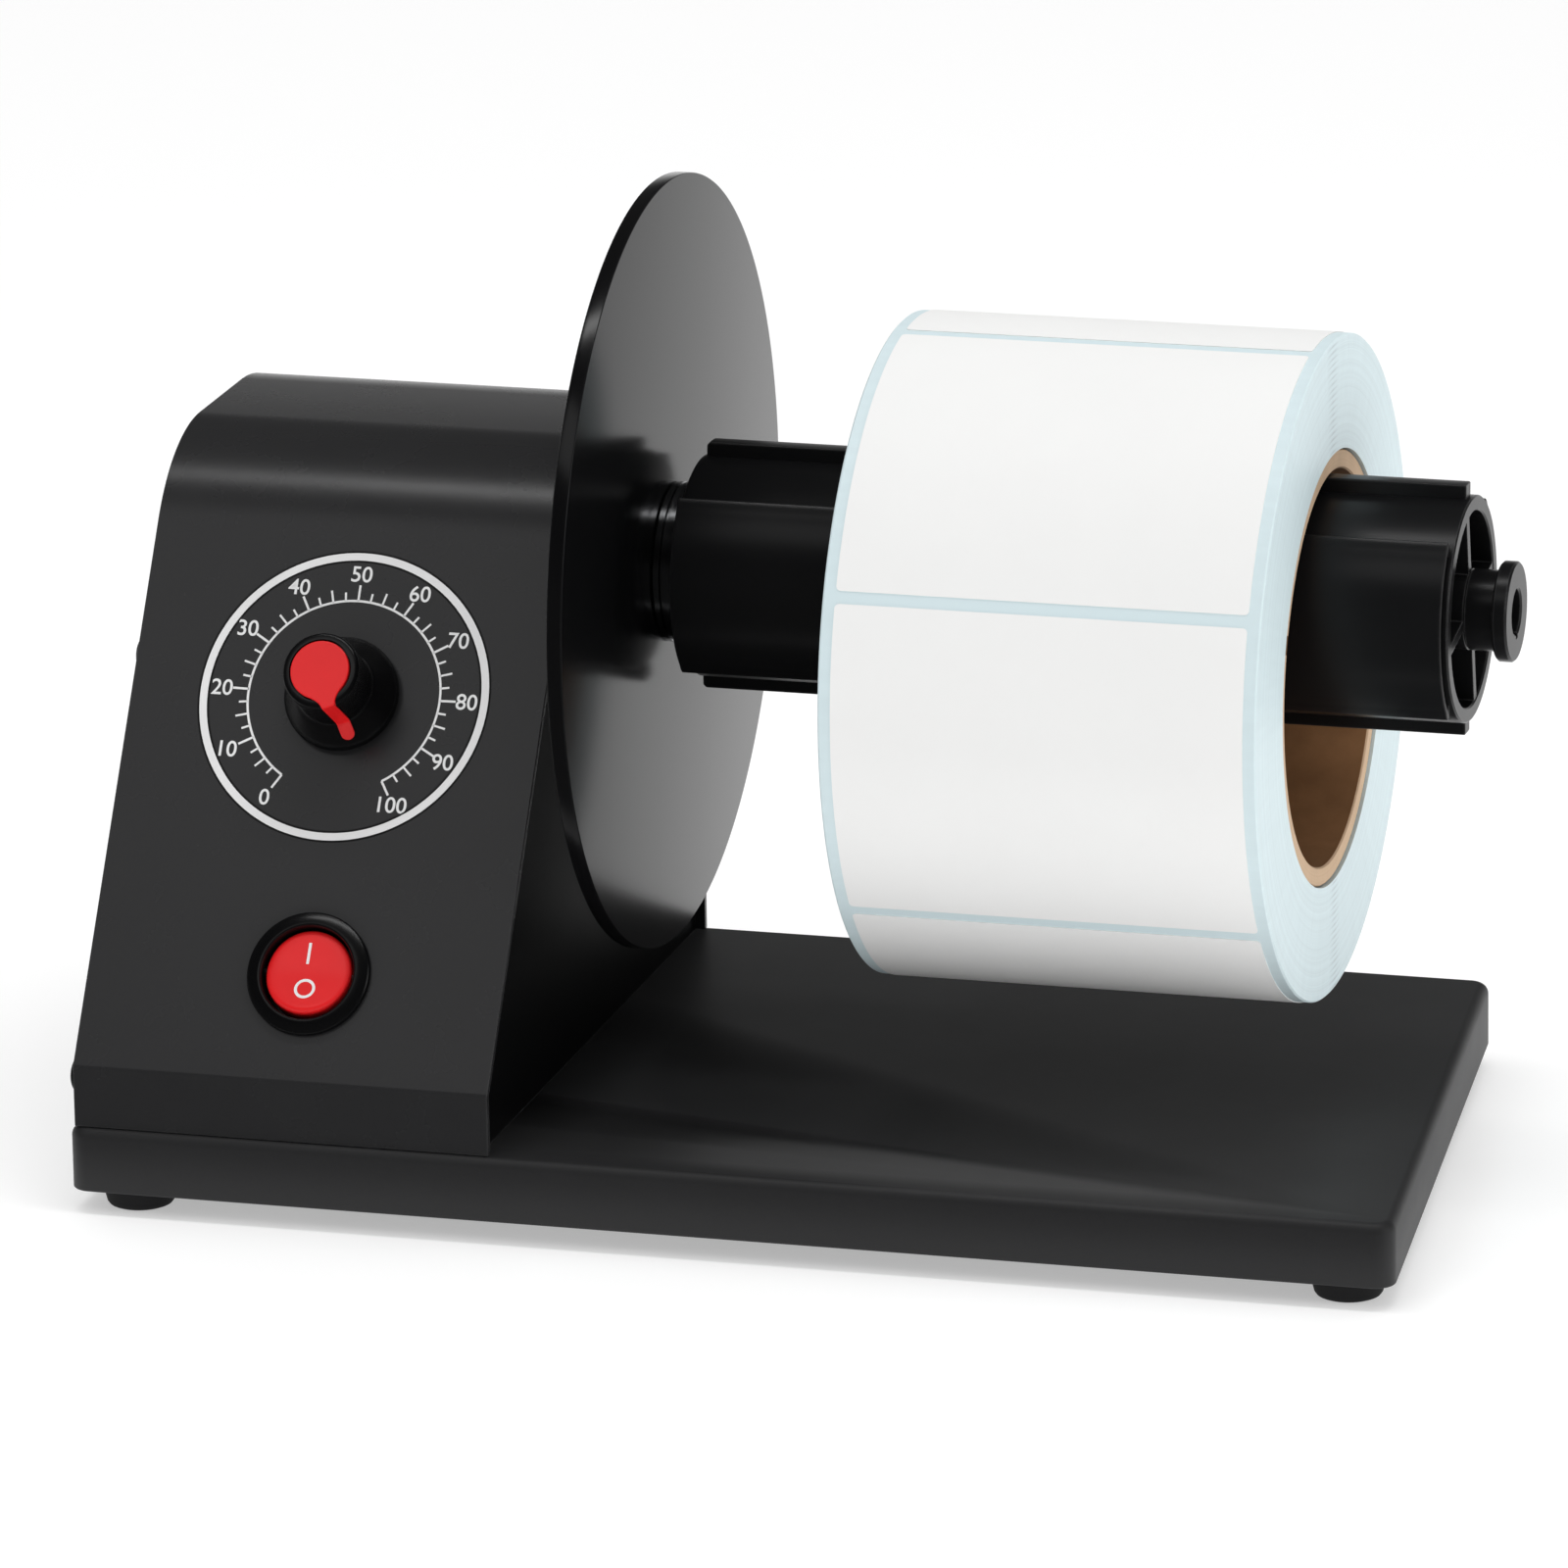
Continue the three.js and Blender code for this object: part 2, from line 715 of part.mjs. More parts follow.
function makePosts() {
  const postLeft = leftPlateX + plateSheet + seatGap;
  const postRight = bulkheadX - seatGap;
  const bore = sideScrewRadius + runningGap;
  const post = alongX(revolved([
    [postLeft, bore],
    [postLeft, postRadius],
    [postRight, postRadius],
    [postRight, postSpigotRadius],
    [bulkheadRight, postSpigotRadius],
    [bulkheadRight, 0],
    [postLeft + postBoreDepth, 0],
    [postLeft + postBoreDepth, bore],
  ], smallSides));
  const seat = leftPlateX - seatGap;
  const screwEnd = leftPlateX + plateSheet + sideScrewReach;
  const screw = alongX(revolved([
    [leftPlateX - sideHeadHeight, 0],
    [leftPlateX - sideHeadHeight, sideHeadRadius - sideHeadEdge],
    [leftPlateX - sideHeadHeight + sideHeadEdge / 3, sideHeadRadius - sideHeadEdge / 3],
    [leftPlateX - sideHeadHeight + sideHeadEdge, sideHeadRadius],
    [seat, sideHeadRadius],
    [seat, sideScrewRadius],
    [screwEnd, sideScrewRadius],
    [screwEnd, 0],
  ], smallSides));
  postPlaces().forEach(([corner, place]) => {
    piece(whole, `tie_post_${corner}`, post, 'steel', [0, place.x, place.y]);
    piece(whole, `side_screw_${corner}`, screw, 'darkSteel', [0, place.x, place.y]);
  });
}

// Spindle: what stands still round it

function bearingAt(from) {
  return alongX(tube(shaftRadius + runningGap, bearingRadius, from, from + bearingWidth, shaftSides));
}

// A block from its seat on a plate to its lip. The direction is 1 or -1 along X.
function bearingBlock(seat, direction) {
  const pocketEnd = seat + direction * (bearingWidth + looseGap);
  const end = pocketEnd + direction * blockLip;
  return alongX(revolved([
    [seat, bearingRadius + runningGap],
    [seat, blockRadius],
    [end, blockRadius],
    [end, blockLipRadius],
    [pocketEnd, blockLipRadius],
    [pocketEnd, bearingRadius + runningGap],
  ], shaftSides));
}

function makeBearings() {
  const innerSeat = bulkheadRight + seatGap;
  const outerSeat = rightPlateX - seatGap;
  piece(spindleFrame, 'bearing_block_inner', bearingBlock(innerSeat, 1), 'zinc');
  piece(spindleFrame, 'bearing_block_outer', bearingBlock(outerSeat, -1), 'zinc');
  piece(spindleFrame, 'bearing_inner', bearingAt(innerSeat), 'steel');
  piece(spindleFrame, 'bearing_outer', bearingAt(outerSeat - bearingWidth), 'steel');
}

// Spindle: what turns

function makeShaft() {
  const grooveLeft = shaftLeft + clipInset;
  const grooveRight = grooveLeft + clipWidth + 2 * seatGap;
  const grooveRadius = shaftRadius - clipGrooveDepth;
  piece(spindleFrame, 'spindle_shaft', alongX(revolved([
    [shaftLeft, 0],
    [shaftLeft, shaftRadius],
    [grooveLeft, shaftRadius],
    [grooveLeft, grooveRadius],
    [grooveRight, grooveRadius],
    [grooveRight, shaftRadius],
    [shaftRight, shaftRadius],
    [shaftRight, 0],
  ], shaftSides)), 'steel');

  const clipInner = grooveRadius + runningGap;
  const from = clipMouth / 2;
  const to = 360 * degree - clipMouth / 2;
  const outline = [...arc(clipRadius, from, to), ...arc(clipInner, to, from)];
  const clipLeft = grooveLeft + seatGap;
  const clip = prism(outline, clipLeft, clipLeft + clipWidth);
  piece(spindleFrame, 'retaining_clip', alongX(clip), 'darkSteel');
}

function pulley(radius, bore, from) {
  const to = from + pulleyWidth;
  const flange = radius + pulleyFlangeHeight;
  return revolved([
    [from, bore],
    [from, flange],
    [from + pulleyFlangeWidth, flange],
    [from + pulleyFlangeWidth, radius],
    [to - pulleyFlangeWidth, radius],
    [to - pulleyFlangeWidth, flange],
    [to, flange],
    [to, bore],
  ], shaftSides);
}

const pulleyLeft = shaftLeft + clipInset + clipWidth + pulleyGap;

function makeDrive() {
  const driven = pulley(drivenPulleyRadius, shaftRadius + runningGap, pulleyLeft);
  const holeCircle = (shaftRadius + drivenPulleyRadius) / 2;
  const holes = circle(holeCircle, pulleyHoleCount).map(({ x, y }) => {
    const hole = rod(pulleyHoleRadius, pulleyLeft - cutOverrun, pulleyLeft + pulleyWidth + cutOverrun);
    return hole.translate(x, y, 0);
  });
  piece(spindleFrame, 'driven_pulley', alongX(cut(driven, ...holes)), 'mouldedBlack');

  const drive = pulley(drivePulleyRadius, motorShaftRadius + runningGap, pulleyLeft);
  piece(motorFrame, 'drive_pulley', alongX(drive), 'mouldedBlack');

  const beltLeft = pulleyLeft + (pulleyWidth - beltWidth) / 2;
  const outside = beltOutline(looseGap + beltThickness);
  const inside = beltOutline(looseGap);
  piece(whole, 'drive_belt', alongX(prism(outside, beltLeft, beltLeft + beltWidth, [inside])), 'beltBlack');
}

// The loop round both pulleys at a distance from their seats, in Y and Z
function beltOutline(distance) {
  const span = new THREE.Vector2().subVectors(motorPlace, spindlePlace);
  const along = span.angle();
  const half = Math.acos((drivenPulleyRadius - drivePulleyRadius) / span.length());
  const round = 360 * degree;
  return [
    ...arc(drivenPulleyRadius + distance, along + half, along + round - half, spindlePlace),
    ...arc(drivePulleyRadius + distance, along - half, along + half, motorPlace),
  ];
}

function makeMotor() {
  const seat = bulkheadRight + seatGap;
  const gearboxEnd = seat + gearboxLength;
  const bore = motorShaftRadius + runningGap;
  const pilotLeft = seat - pilotLength;
  piece(motorFrame, 'motor_gearbox', alongX(revolved([
    [pilotLeft, bore],
    [pilotLeft, pilotRadius],
    [seat, pilotRadius],
    [seat, gearboxRadius],
    [gearboxEnd, gearboxRadius],
    [gearboxEnd, 0],
    [seat + motorShaftDepth, 0],
    [seat + motorShaftDepth, bore],
  ], shaftSides)), 'steel');

  const canLeft = gearboxEnd + seatGap;
  const canRight = canLeft + canLength;
  piece(motorFrame, 'motor_can', alongX(revolved([
    [canLeft, 0],
    [canLeft, canRadius],
    [canRight, canRadius],
    [canRight, canEndRadius],
    [canRight + canEndLength, canEndRadius],
    [canRight + canEndLength, 0],
  ], shaftSides)), 'darkSteel');

  const shaftEnd = seat + motorShaftDepth - looseGap;
  const shaft = rod(motorShaftRadius, shaftLeft, shaftEnd, shaftSides);
  piece(motorFrame, 'motor_shaft', alongX(shaft), 'steel');
}

function makeDisc() {
  const bore = shaftRadius + runningGap;
  const face = discX + discThickness;
  piece(spindleFrame, 'flange_disc', alongX(revolved([
    [discX - discHubLength, bore],
    [discX - discHubLength, discHubRadius],
    [discX, discHubRadius],
    [discX, discRadius - discEdge],
    [discX + discEdge, discRadius],
    [face - discEdge, discRadius],
    [face, discRadius - discEdge],
    [face, bore],
  ], largeSides)), 'discBlack');

  const groove = collarX + collarGrooveInset;
  const grooveRadius = collarRadius - collarGrooveDepth;
  const collarEnd = collarX + collarWidth;
  piece(spindleFrame, 'hub_collar', alongX(revolved([
    [collarX, bore],
    [collarX, collarRadius],
    [groove, collarRadius],
    [groove, grooveRadius],
    [groove + collarGrooveWidth, grooveRadius],
    [groove + collarGrooveWidth, collarRadius],
    [collarEnd, collarRadius],
    [collarEnd, collarNeckRadius],
    [collarEnd + collarNeckLength, collarNeckRadius],
    [collarEnd + collarNeckLength, bore],
  ], shaftSides)), 'darkSteel');
}

// Sections of the mandrel, in Y and Z. An angle counts from the front upwards, so Y is mirrored.
function mandrelSector(inner, outer, fromDegrees, toDegrees) {
  const from = (180 - toDegrees) * degree;
  const to = (180 - fromDegrees) * degree;
  return [...arc(outer, from, to), ...arc(inner, to, from)];
}

function mandrelWall(width, inner, outer, degrees) {
  const angle = (180 - degrees) * degree;
  const half = width / 2;
  const corners = [[inner, -half], [outer, -half], [outer, half], [inner, half]];
  return corners.map(([u, v]) => new THREE.Vector2(u, v).rotateAround(new THREE.Vector2(), angle));
}

function makeMandrel() {
  const ringBore = ringRadius - ringWall;
  const inRing = ringRadius - ringWall / 2;
  const hubBore = shaftRadius + runningGap;
  const end = mandrelEnd;
  const body = revolved([
    [mandrelX, hubBore],
    [mandrelX, ringRadius - ringEdge],
    [mandrelX + ringEdge, ringRadius],
    [end, ringRadius],
    [end, ringBore],
    [mandrelX + endWall, ringBore],
    [mandrelX + endWall, hubRadius],
    [end, hubRadius],
    [end, hubBore],
  ], largeSides);
  const spokes = spokeAngles.map((degrees) => {
    const section = mandrelWall(spokeWidth, (hubRadius + hubBore) / 2, inRing, degrees);
    return prism(section, mandrelX + endWall / 2, end);
  });

  const lobeLeft = mandrelX + lobeSetBack;
  const shells = shellSpans.flatMap(([from, to]) => {
    const foot = (shellFootWidth / shellRadius / degree);
    const shellBore = shellRadius - shellWall;
    const skin = mandrelSector(shellBore, shellRadius, from, to);
    const feet = [[from, from + foot], [to - foot, to]].map(([a, b]) => {
      return mandrelSector(inRing, shellRadius - shellWall / 2, a, b);
    });
    return [skin, ...feet].map((section) => prism(section, lobeLeft, end - shellEndInset));
  });
  const ribs = ribAngles.map((degrees) => {
    return prism(mandrelWall(ribWidth, inRing, ribRadius, degrees), lobeLeft, end - shellEndInset);
  });
  const taper = revolved([
    [lobeLeft, 0],
    [lobeLeft, ribRadius - lobeChamfer],
    [lobeLeft + lobeChamfer, ribRadius],
    [end, ribRadius],
    [end, 0],
  ], largeSides);
  const lobes = common(joined(...shells, ...ribs), taper);
  piece(spindleFrame, 'mandrel', alongX(joined(body, ...spokes, lobes)), 'mouldedBlack');
}

function makeEndBush() {
  const spigotRadius = shaftRadius;
  const neckLeft = mandrelEnd + seatGap;
  const neckRight = neckLeft + bushNeckLength;
  const spigotLeft = mandrelEnd - bushSpigotLength;
  const bush = revolved([
    [spigotLeft, bushBoreRadius],
    [spigotLeft, spigotRadius],
    [neckLeft, spigotRadius],
    [neckLeft, hubRadius],
    [neckRight, hubRadius],
    [neckRight, bushFlangeRadius],
    [bushEnd - bushFlangeEdge, bushFlangeRadius],
    [bushEnd, bushFlangeRadius - bushFlangeEdge],
    [bushEnd, bushBoreRadius],
  ], shaftSides);
  const notch = block(
    [-bushNotchWidth / 2, bushNotchWidth / 2],
    [-bushBoreRadius - bushNotchDepth, 0],
    [bushEnd - bushNotchLength, bushEnd + cutOverrun],
  );
  piece(spindleFrame, 'end_bush', alongX(cut(bush, notch)), 'darkSteel');
}

function makeRoll() {
  const core = tube(coreBoreRadius, coreRadius, coreRecess, rollWidth - coreRecess, largeSides);
  piece(rollFrame, 'roll_core', alongX(core), 'cardboard');
  const bore = coreRadius + looseGap;
  piece(rollFrame, 'label_roll', alongX(revolved([
    [0, bore],
    [0, rollRadius - rollEdge],
    [rollEdge, rollRadius],
    [rollWidth - rollEdge, rollRadius],
    [rollWidth, rollRadius - rollEdge],
    [rollWidth, bore],
  ], largeSides)), 'liner');
}

// Speed dial

const dialFrame = frameAt(panelFrame, dialX, dialRise, 0);
const knobFrame = frameAt(dialFrame, 0, 0, 0);
knobFrame.rotation.z = knobTurn;

function hexNut(bore, radius, from, to) {
  return prism(circle(radius, 6), from, to, [circle(bore, smallSides)]);
}

function makePotentiometer() {
  const face = -coverSheet - looseGap;
  const back = face - potDepth;
  const body = revolved([
    [back, 0],
    [back, potRadius],
    [face, potRadius],
    [face, potBushRadius],
    [potBushRise, potBushRadius],
    [potBushRise, potBushBore],
    [face - potBoreDepth, potBushBore],
    [face - potBoreDepth, 0],
  ], shaftSides);
  const tags = [-1, 0, 1].map((step) => {
    const x = step * potTagPitch;
    const width = [x - potTagWidth / 2, x + potTagWidth / 2];
    const reach = [-potRadius - potTagLength, -potRadius / 2];
    return block(width, reach, [back + potTagWidth, back + 2 * potTagWidth]);
  });
  piece(dialFrame, 'potentiometer', joined(body, ...tags), 'steel');
  const nut = hexNut(potBushRadius + looseGap, potNutRadius, looseGap, looseGap + potNutHeight);
  piece(dialFrame, 'potentiometer_nut', nut, 'brass');
  const shaftBottom = face - potBoreDepth + looseGap;
  const shaftTop = knobStandOff + knobBoreDepth - looseGap;
  piece(knobFrame, 'potentiometer_shaft', rod(potShaftRadius, shaftBottom, shaftTop), 'steel');
}

// The cap is a disc with a tapering pointer, whose bar runs down the knob's side.
// A growth makes the pocket that it sits in.
function knobCap(growth) {
  const top = knobStandOff + knobHeight + capRise;
  const bottom = top - capRise - capThickness - growth;
  const barReach = knobTopRadius + capBarProud;
  const barInner = knobTopRadius - capBarDepth - growth;
  const tip = capPointerTipWidth / 2 + growth;
  const root = capPointerRootWidth / 2 + growth;
  const disc = rod(capRadius + growth, bottom, top, shaftSides);
  const pointer = prism([
    new THREE.Vector2(-root, -capRadius / 2),
    new THREE.Vector2(-tip, -barReach),
    new THREE.Vector2(tip, -barReach),
    new THREE.Vector2(root, -capRadius / 2),
  ], bottom, top);
  const half = capBarWidth / 2 + growth;
  const barBottom = top - capRise - capThickness - capBarLength - growth;
  const bar = block([-half, half], [-barReach, -barInner], [barBottom, top - capRise - capThickness / 2]);
  return joined(disc, pointer, bar);
}

function makeKnob() {
  const bottom = knobStandOff;
  const top = bottom + knobHeight;
  const bore = potShaftRadius + looseGap;
  const body = revolved([
    [bottom, knobRecessRadius],
    [bottom, knobSkirtRadius],
    [bottom + knobSkirtEdge, knobSkirtRadius],
    [bottom + knobSkirtHeight, knobShoulderRadius],
    [bottom + knobSkirtHeight + knobTopEdge, knobFootRadius],
    [top - knobTopEdge, knobTopRadius],
    [top, knobTopRadius - knobTopEdge],
    [top, 0],
    [bottom + knobBoreDepth, 0],
    [bottom + knobBoreDepth, bore],
    [bottom + knobRecessDepth, bore],
    [bottom + knobRecessDepth, knobRecessRadius],
  ], shaftSides);
  piece(knobFrame, 'speed_knob', cut(body, knobCap(looseGap)), 'mouldedBlack');
  piece(knobFrame, 'knob_cap', knobCap(0), 'signalRed');
}

// Power switch

const switchFrame = frameAt(panelFrame, switchX, switchRise, 0);
const rockerFrame = frameAt(switchFrame, 0, 0, -rockerPivotDepth);
rockerFrame.rotation.x = -rockerTilt;

function makeSwitch() {
  const back = -barrelDepth;
  const body = revolved([
    [back, 0],
    [back, barrelRadius],
    [looseGap, barrelRadius],
    [looseGap, bezelRadius],
    [bezelRise - bezelEdge, bezelRadius],
    [bezelRise, bezelRadius - bezelEdge],
    [bezelRise, switchWellRadius + bezelInnerEdge],
    [bezelRise - bezelInnerEdge, switchWellRadius],
    [-switchWellDepth, switchWellRadius],
    [-switchWellDepth, 0],
  ], shaftSides);
  const terminals = [-1, 0, 1].map((step) => {
    const centre = step * terminalPitch;
    const rise = [centre - terminalThickness / 2, centre + terminalThickness / 2];
    const depth = [back - terminalLength, back + terminalThickness];
    return block([-terminalWidth / 2, terminalWidth / 2], rise, depth);
  });
  const pinHole = alongX(rod(rockerPinRadius + looseGap, -bezelRadius, bezelRadius));
  const pinHoleInBody = pinHole.translate(0, 0, -rockerPivotDepth);
  piece(switchFrame, 'switch_body', cut(joined(body, ...terminals), pinHoleInBody), 'mouldedBlack');

  const endHeight = rockerValley + rockerRadius * Math.tan(rockerTilt);
  const section = [
    [-rockerRadius, -rockerThickness],
    [rockerRadius, -rockerThickness],
    [rockerRadius, endHeight],
    [0, rockerValley],
    [-rockerRadius, endHeight],
  ].map(([rise, height]) => new THREE.Vector2(rise, height));
  const wedge = alongX(prism(section, -rockerRadius, rockerRadius));
  const ball = new THREE.SphereGeometry(rockerRadius, shaftSides, smallSides);
  const pin = alongX(rod(rockerPinRadius, -rockerPinReach, rockerPinReach));
  piece(rockerFrame, 'switch_rocker', joined(common(ball, wedge), pin), 'signalRed');
}

// Control board

const boardLeft = bulkheadRight + boardInset;
const boardFront = coverRear - boardInsetRear - boardDepth;
const boardZ = floorZ + standoffHeight + seatGap;

function onBoard(shares) {
  const x = [boardLeft + shares.left * boardWidth, boardLeft + shares.right * boardWidth];
  const y = [boardFront + shares.front * boardDepth, boardFront + shares.rear * boardDepth];
  return [x, y];
}

function makeBoard() {
  const top = boardZ + boardThickness;
  const inBoard = top - boardThickness / 2;
  const plateX = [boardLeft, boardLeft + boardWidth];
  const plate = block(plateX, [boardFront, boardFront + boardDepth], [boardZ, top]);
  const capacitors = capacitorShares.map(([across, along]) => {
    const can = rod(capacitorRadius, inBoard, top + capacitorHeight);
    return can.translate(boardLeft + across * boardWidth, boardFront + along * boardDepth, 0);
  });
  const [connectorX, connectorY] = onBoard(connectorShares);
  const connector = block(connectorX, connectorY, [inBoard, top + connectorHeight]);
  const [sinkX, sinkY] = onBoard(sinkShares);
  const base = block(sinkX, sinkY, [inBoard, top + sinkBase]);
  const finPitch = (sinkX[1] - sinkX[0] - sinkFinWidth) / (sinkFinCount - 1);
  const fins = Array.from({ length: sinkFinCount }, (_, k) => {
    const x = sinkX[0] + k * finPitch;
    return block([x, x + sinkFinWidth], sinkY, [top + sinkBase / 2, top + sinkHeight]);
  });
  piece(whole, 'control_board', joined(plate, ...capacitors, connector, base, ...fins), 'circuitGreen');

  const standoff = rod(standoffRadius, floorZ, floorZ + standoffHeight);
  const xs = [boardLeft + standoffInset, boardLeft + boardWidth - standoffInset];
  const ys = [boardFront + standoffInset, boardFront + boardDepth - standoffInset];
  xs.forEach((x, i) => ys.forEach((y, j) => {
    piece(whole, `board_standoff_${2 * i + j + 1}`, standoff, 'brass', [x, y, 0]);
  }));
}

// Power inlet, with its axis pointing to the rear from the back panel's outer face

function makeInlet() {
  const inletFrame = frameAt(whole, coverRight - inletInset, coverRear, trayTop + inletRise);
  inletFrame.rotation.x = -90 * degree;
  const body = revolved([
    [-inletBarrelLength, 0],
    [-inletBarrelLength, inletBarrelRadius],
    [seatGap, inletBarrelRadius],
    [seatGap, inletFlangeRadius],
    [inletFlangeWidth, inletFlangeRadius],
    [inletFlangeWidth, inletBore],
    [inletFlangeWidth - inletBoreDepth, inletBore],
    [inletFlangeWidth - inletBoreDepth, inletPinRadius],
    [inletFlangeWidth - inletPinSetBack, inletPinRadius],
    [inletFlangeWidth - inletPinSetBack, 0],
  ], smallSides);
  piece(inletFrame, 'power_inlet', body, 'mouldedBlack');
  const nutTop = -coverSheet - seatGap;
  const nut = hexNut(inletBarrelRadius + runningGap, inletNutRadius, nutTop - inletNutHeight, nutTop);
  piece(inletFrame, 'power_inlet_nut', nut, 'zinc');
}

makeTray();
makeFeet();
makeCover();
makeCoverScrews();
makePlates();
makePosts();
makeBearings();
makeShaft();
makeDrive();
makeMotor();
makeDisc();
makeMandrel();
makeEndBush();
makeRoll();
makePotentiometer();
makeKnob();
makeSwitch();
makeBoard();
makeInlet();

const leftmost = Math.min(0, leftPlateX - sideHeadHeight);
const rightmost = Math.max(trayFrontWidth, bushEnd);
const foremost = Math.min(0, spindleY - discRadius);
const rearmost = Math.max(trayDepth, spindleY + discRadius);
whole.position.set(-(leftmost + rightmost) / 2, -(foremost + rearmost) / 2, 0);

export default whole;
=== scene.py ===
# A label rewinder: a slanted control housing on a folded tray, and a ribbed mandrel with a label roll.
# Metres, Z up, X along the spindle. Sizes are written in millimetres from the tray's front left corner.
import math
import bmesh
import bpy
from mathutils import Matrix, Vector


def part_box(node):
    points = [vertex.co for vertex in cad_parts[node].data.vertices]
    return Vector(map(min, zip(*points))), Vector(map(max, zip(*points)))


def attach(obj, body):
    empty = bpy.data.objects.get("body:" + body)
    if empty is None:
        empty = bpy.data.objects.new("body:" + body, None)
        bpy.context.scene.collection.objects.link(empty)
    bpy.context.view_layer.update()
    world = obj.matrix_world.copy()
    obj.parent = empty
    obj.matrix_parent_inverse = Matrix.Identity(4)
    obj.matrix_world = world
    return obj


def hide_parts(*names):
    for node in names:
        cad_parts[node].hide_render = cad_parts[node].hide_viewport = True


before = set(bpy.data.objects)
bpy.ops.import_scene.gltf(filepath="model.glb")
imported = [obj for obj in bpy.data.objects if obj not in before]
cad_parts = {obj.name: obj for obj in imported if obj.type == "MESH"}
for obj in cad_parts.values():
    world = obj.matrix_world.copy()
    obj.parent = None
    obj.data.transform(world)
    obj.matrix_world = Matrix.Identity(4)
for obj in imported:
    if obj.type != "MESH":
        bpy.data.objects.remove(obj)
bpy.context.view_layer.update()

mm = 0.001
full_turn = 2 * math.pi


# Nodes: short ways to build the trees of shaders, of the room's light and of copies
def give_value(tree, socket, value):
    """Sets a node's input to a value, or links it to another node's socket."""
    if isinstance(value, bpy.types.NodeSocket):
        tree.links.new(value, socket)
    else:
        socket.default_value = value


def add_node(tree, kind, inputs=None, **settings):
    """A new node with its settings and its inputs."""
    node = tree.nodes.new(kind)
    for name, value in settings.items():
        setattr(node, name, value)
    for label, value in (inputs or {}).items():
        give_value(tree, node.inputs[label], value)
    return node


def math_node(tree, operation, *values):
    return add_node(tree, "ShaderNodeMath", dict(enumerate(values)), operation=operation).outputs[0]


def times(tree, *values):
    return math_node(tree, "MULTIPLY", *values)


def map_range(tree, value, start, stop, first, last, interpolation="LINEAR"):
    """A value that goes from the first to the last as the given one goes from start to stop."""
    return add_node(tree, "ShaderNodeMapRange", {
        "Value": value, "From Min": start, "From Max": stop, "To Min": first, "To Max": last,
    }, interpolation_type=interpolation).outputs[0]


def noise_node(tree, where, scale, detail=2.0, roughness=0.5):
    return add_node(tree, "ShaderNodeTexNoise", {
        "Vector": where, "Scale": scale, "Detail": detail, "Roughness": roughness}).outputs["Fac"]


def parts_of(tree, vector):
    return add_node(tree, "ShaderNodeSeparateXYZ", {0: vector}).outputs


def own_place(tree):
    return add_node(tree, "ShaderNodeTexCoord").outputs["Object"]


def surface_of(tree):
    return add_node(tree, "ShaderNodeNewGeometry").outputs


def seen_ray(tree):
    """One where a camera, mirror or glass ray looks, and nought for the rays that light things."""
    path = add_node(tree, "ShaderNodeLightPath").outputs
    mirror = math_node(tree, "MAXIMUM", path["Is Camera Ray"], path["Is Glossy Ray"])
    return math_node(tree, "MAXIMUM", mirror, path["Is Transmission Ray"])


def grey(value):
    return (value, value, value, 1)


def linear(red, green, blue):
    """A colour of 0 to 255 as the shaders take it."""
    def channel(value):
        share = value / 255
        return share / 12.92 if share <= 0.04045 else ((share + 0.055) / 1.055) ** 2.4
    return (channel(red), channel(green), channel(blue), 1)


def toned(color, factor):
    return tuple(min(1.0, channel * factor) for channel in color[:3]) + (1,)


def mixed(tree, mask, first, second):
    """Two colours mixed by a mask. Each is a colour or a socket."""
    mix = add_node(tree, "ShaderNodeMix", data_type="RGBA")
    for socket, value in ((mix.inputs["Factor"], mask), (mix.inputs[6], first), (mix.inputs[7], second)):
        give_value(tree, socket, value)
    return mix.outputs[2]


def shaded(tree, mask, color, low, high):
    """One colour in two tones, mixed by a mask."""
    return mixed(tree, mask, toned(color, low), toned(color, high))


def bare_finish(name, roughness, metallic=0.0, specular=0.5):
    """A material with its tree and its shader."""
    finish = bpy.data.materials.new(name)
    finish.use_nodes = True
    shader = finish.node_tree.nodes["Principled BSDF"]
    for label, value in (("Roughness", roughness), ("Metallic", metallic), ("Specular IOR Level", specular)):
        shader.inputs[label].default_value = value
    return finish, finish.node_tree, shader


def give_bump(tree, shader, height, strength, depth):
    bump = add_node(tree, "ShaderNodeBump", {"Strength": strength, "Distance": depth * mm, "Height": height})
    tree.links.new(bump.outputs[0], shader.inputs["Normal"])


# Set: a pale floor that keeps a soft shadow, and the camera that looks down from the front right
camera_place = (0.588815, -2.09389, 0.71919)
camera_azimuth = math.radians(15.98)
camera_elevation = math.radians(16.57)
camera_roll = math.radians(-0.945)
floor_reach = 12.0
floor_white = 0.8
floor_roughness = 0.22
floor_specular = 0.4
floor_glow = 0.41
floor_bounce = 0.75
floor_seen = 0.06
floor_front = -0.11
floor_near = -0.08

forward = Vector((
    -math.sin(camera_azimuth) * math.cos(camera_elevation),
    math.cos(camera_azimuth) * math.cos(camera_elevation),
    -math.sin(camera_elevation),
))
level = Vector((math.cos(camera_azimuth), math.sin(camera_azimuth), 0))
upright = level.cross(forward)
across = level * math.cos(camera_roll) + upright * math.sin(camera_roll)
upwards = upright * math.cos(camera_roll) - level * math.sin(camera_roll)
eye = bpy.data.objects.new("camera", bpy.data.cameras.new("camera"))
eye.matrix_world = Matrix((across, upwards, -forward)).transposed().to_4x4()
eye.location = camera_place
eye.data.lens = 270
eye.data.sensor_width = 36
eye.data.clip_end = 100
bpy.context.collection.objects.link(eye)
bpy.context.scene.camera = eye
bpy.context.scene.view_settings.view_transform = "Standard"

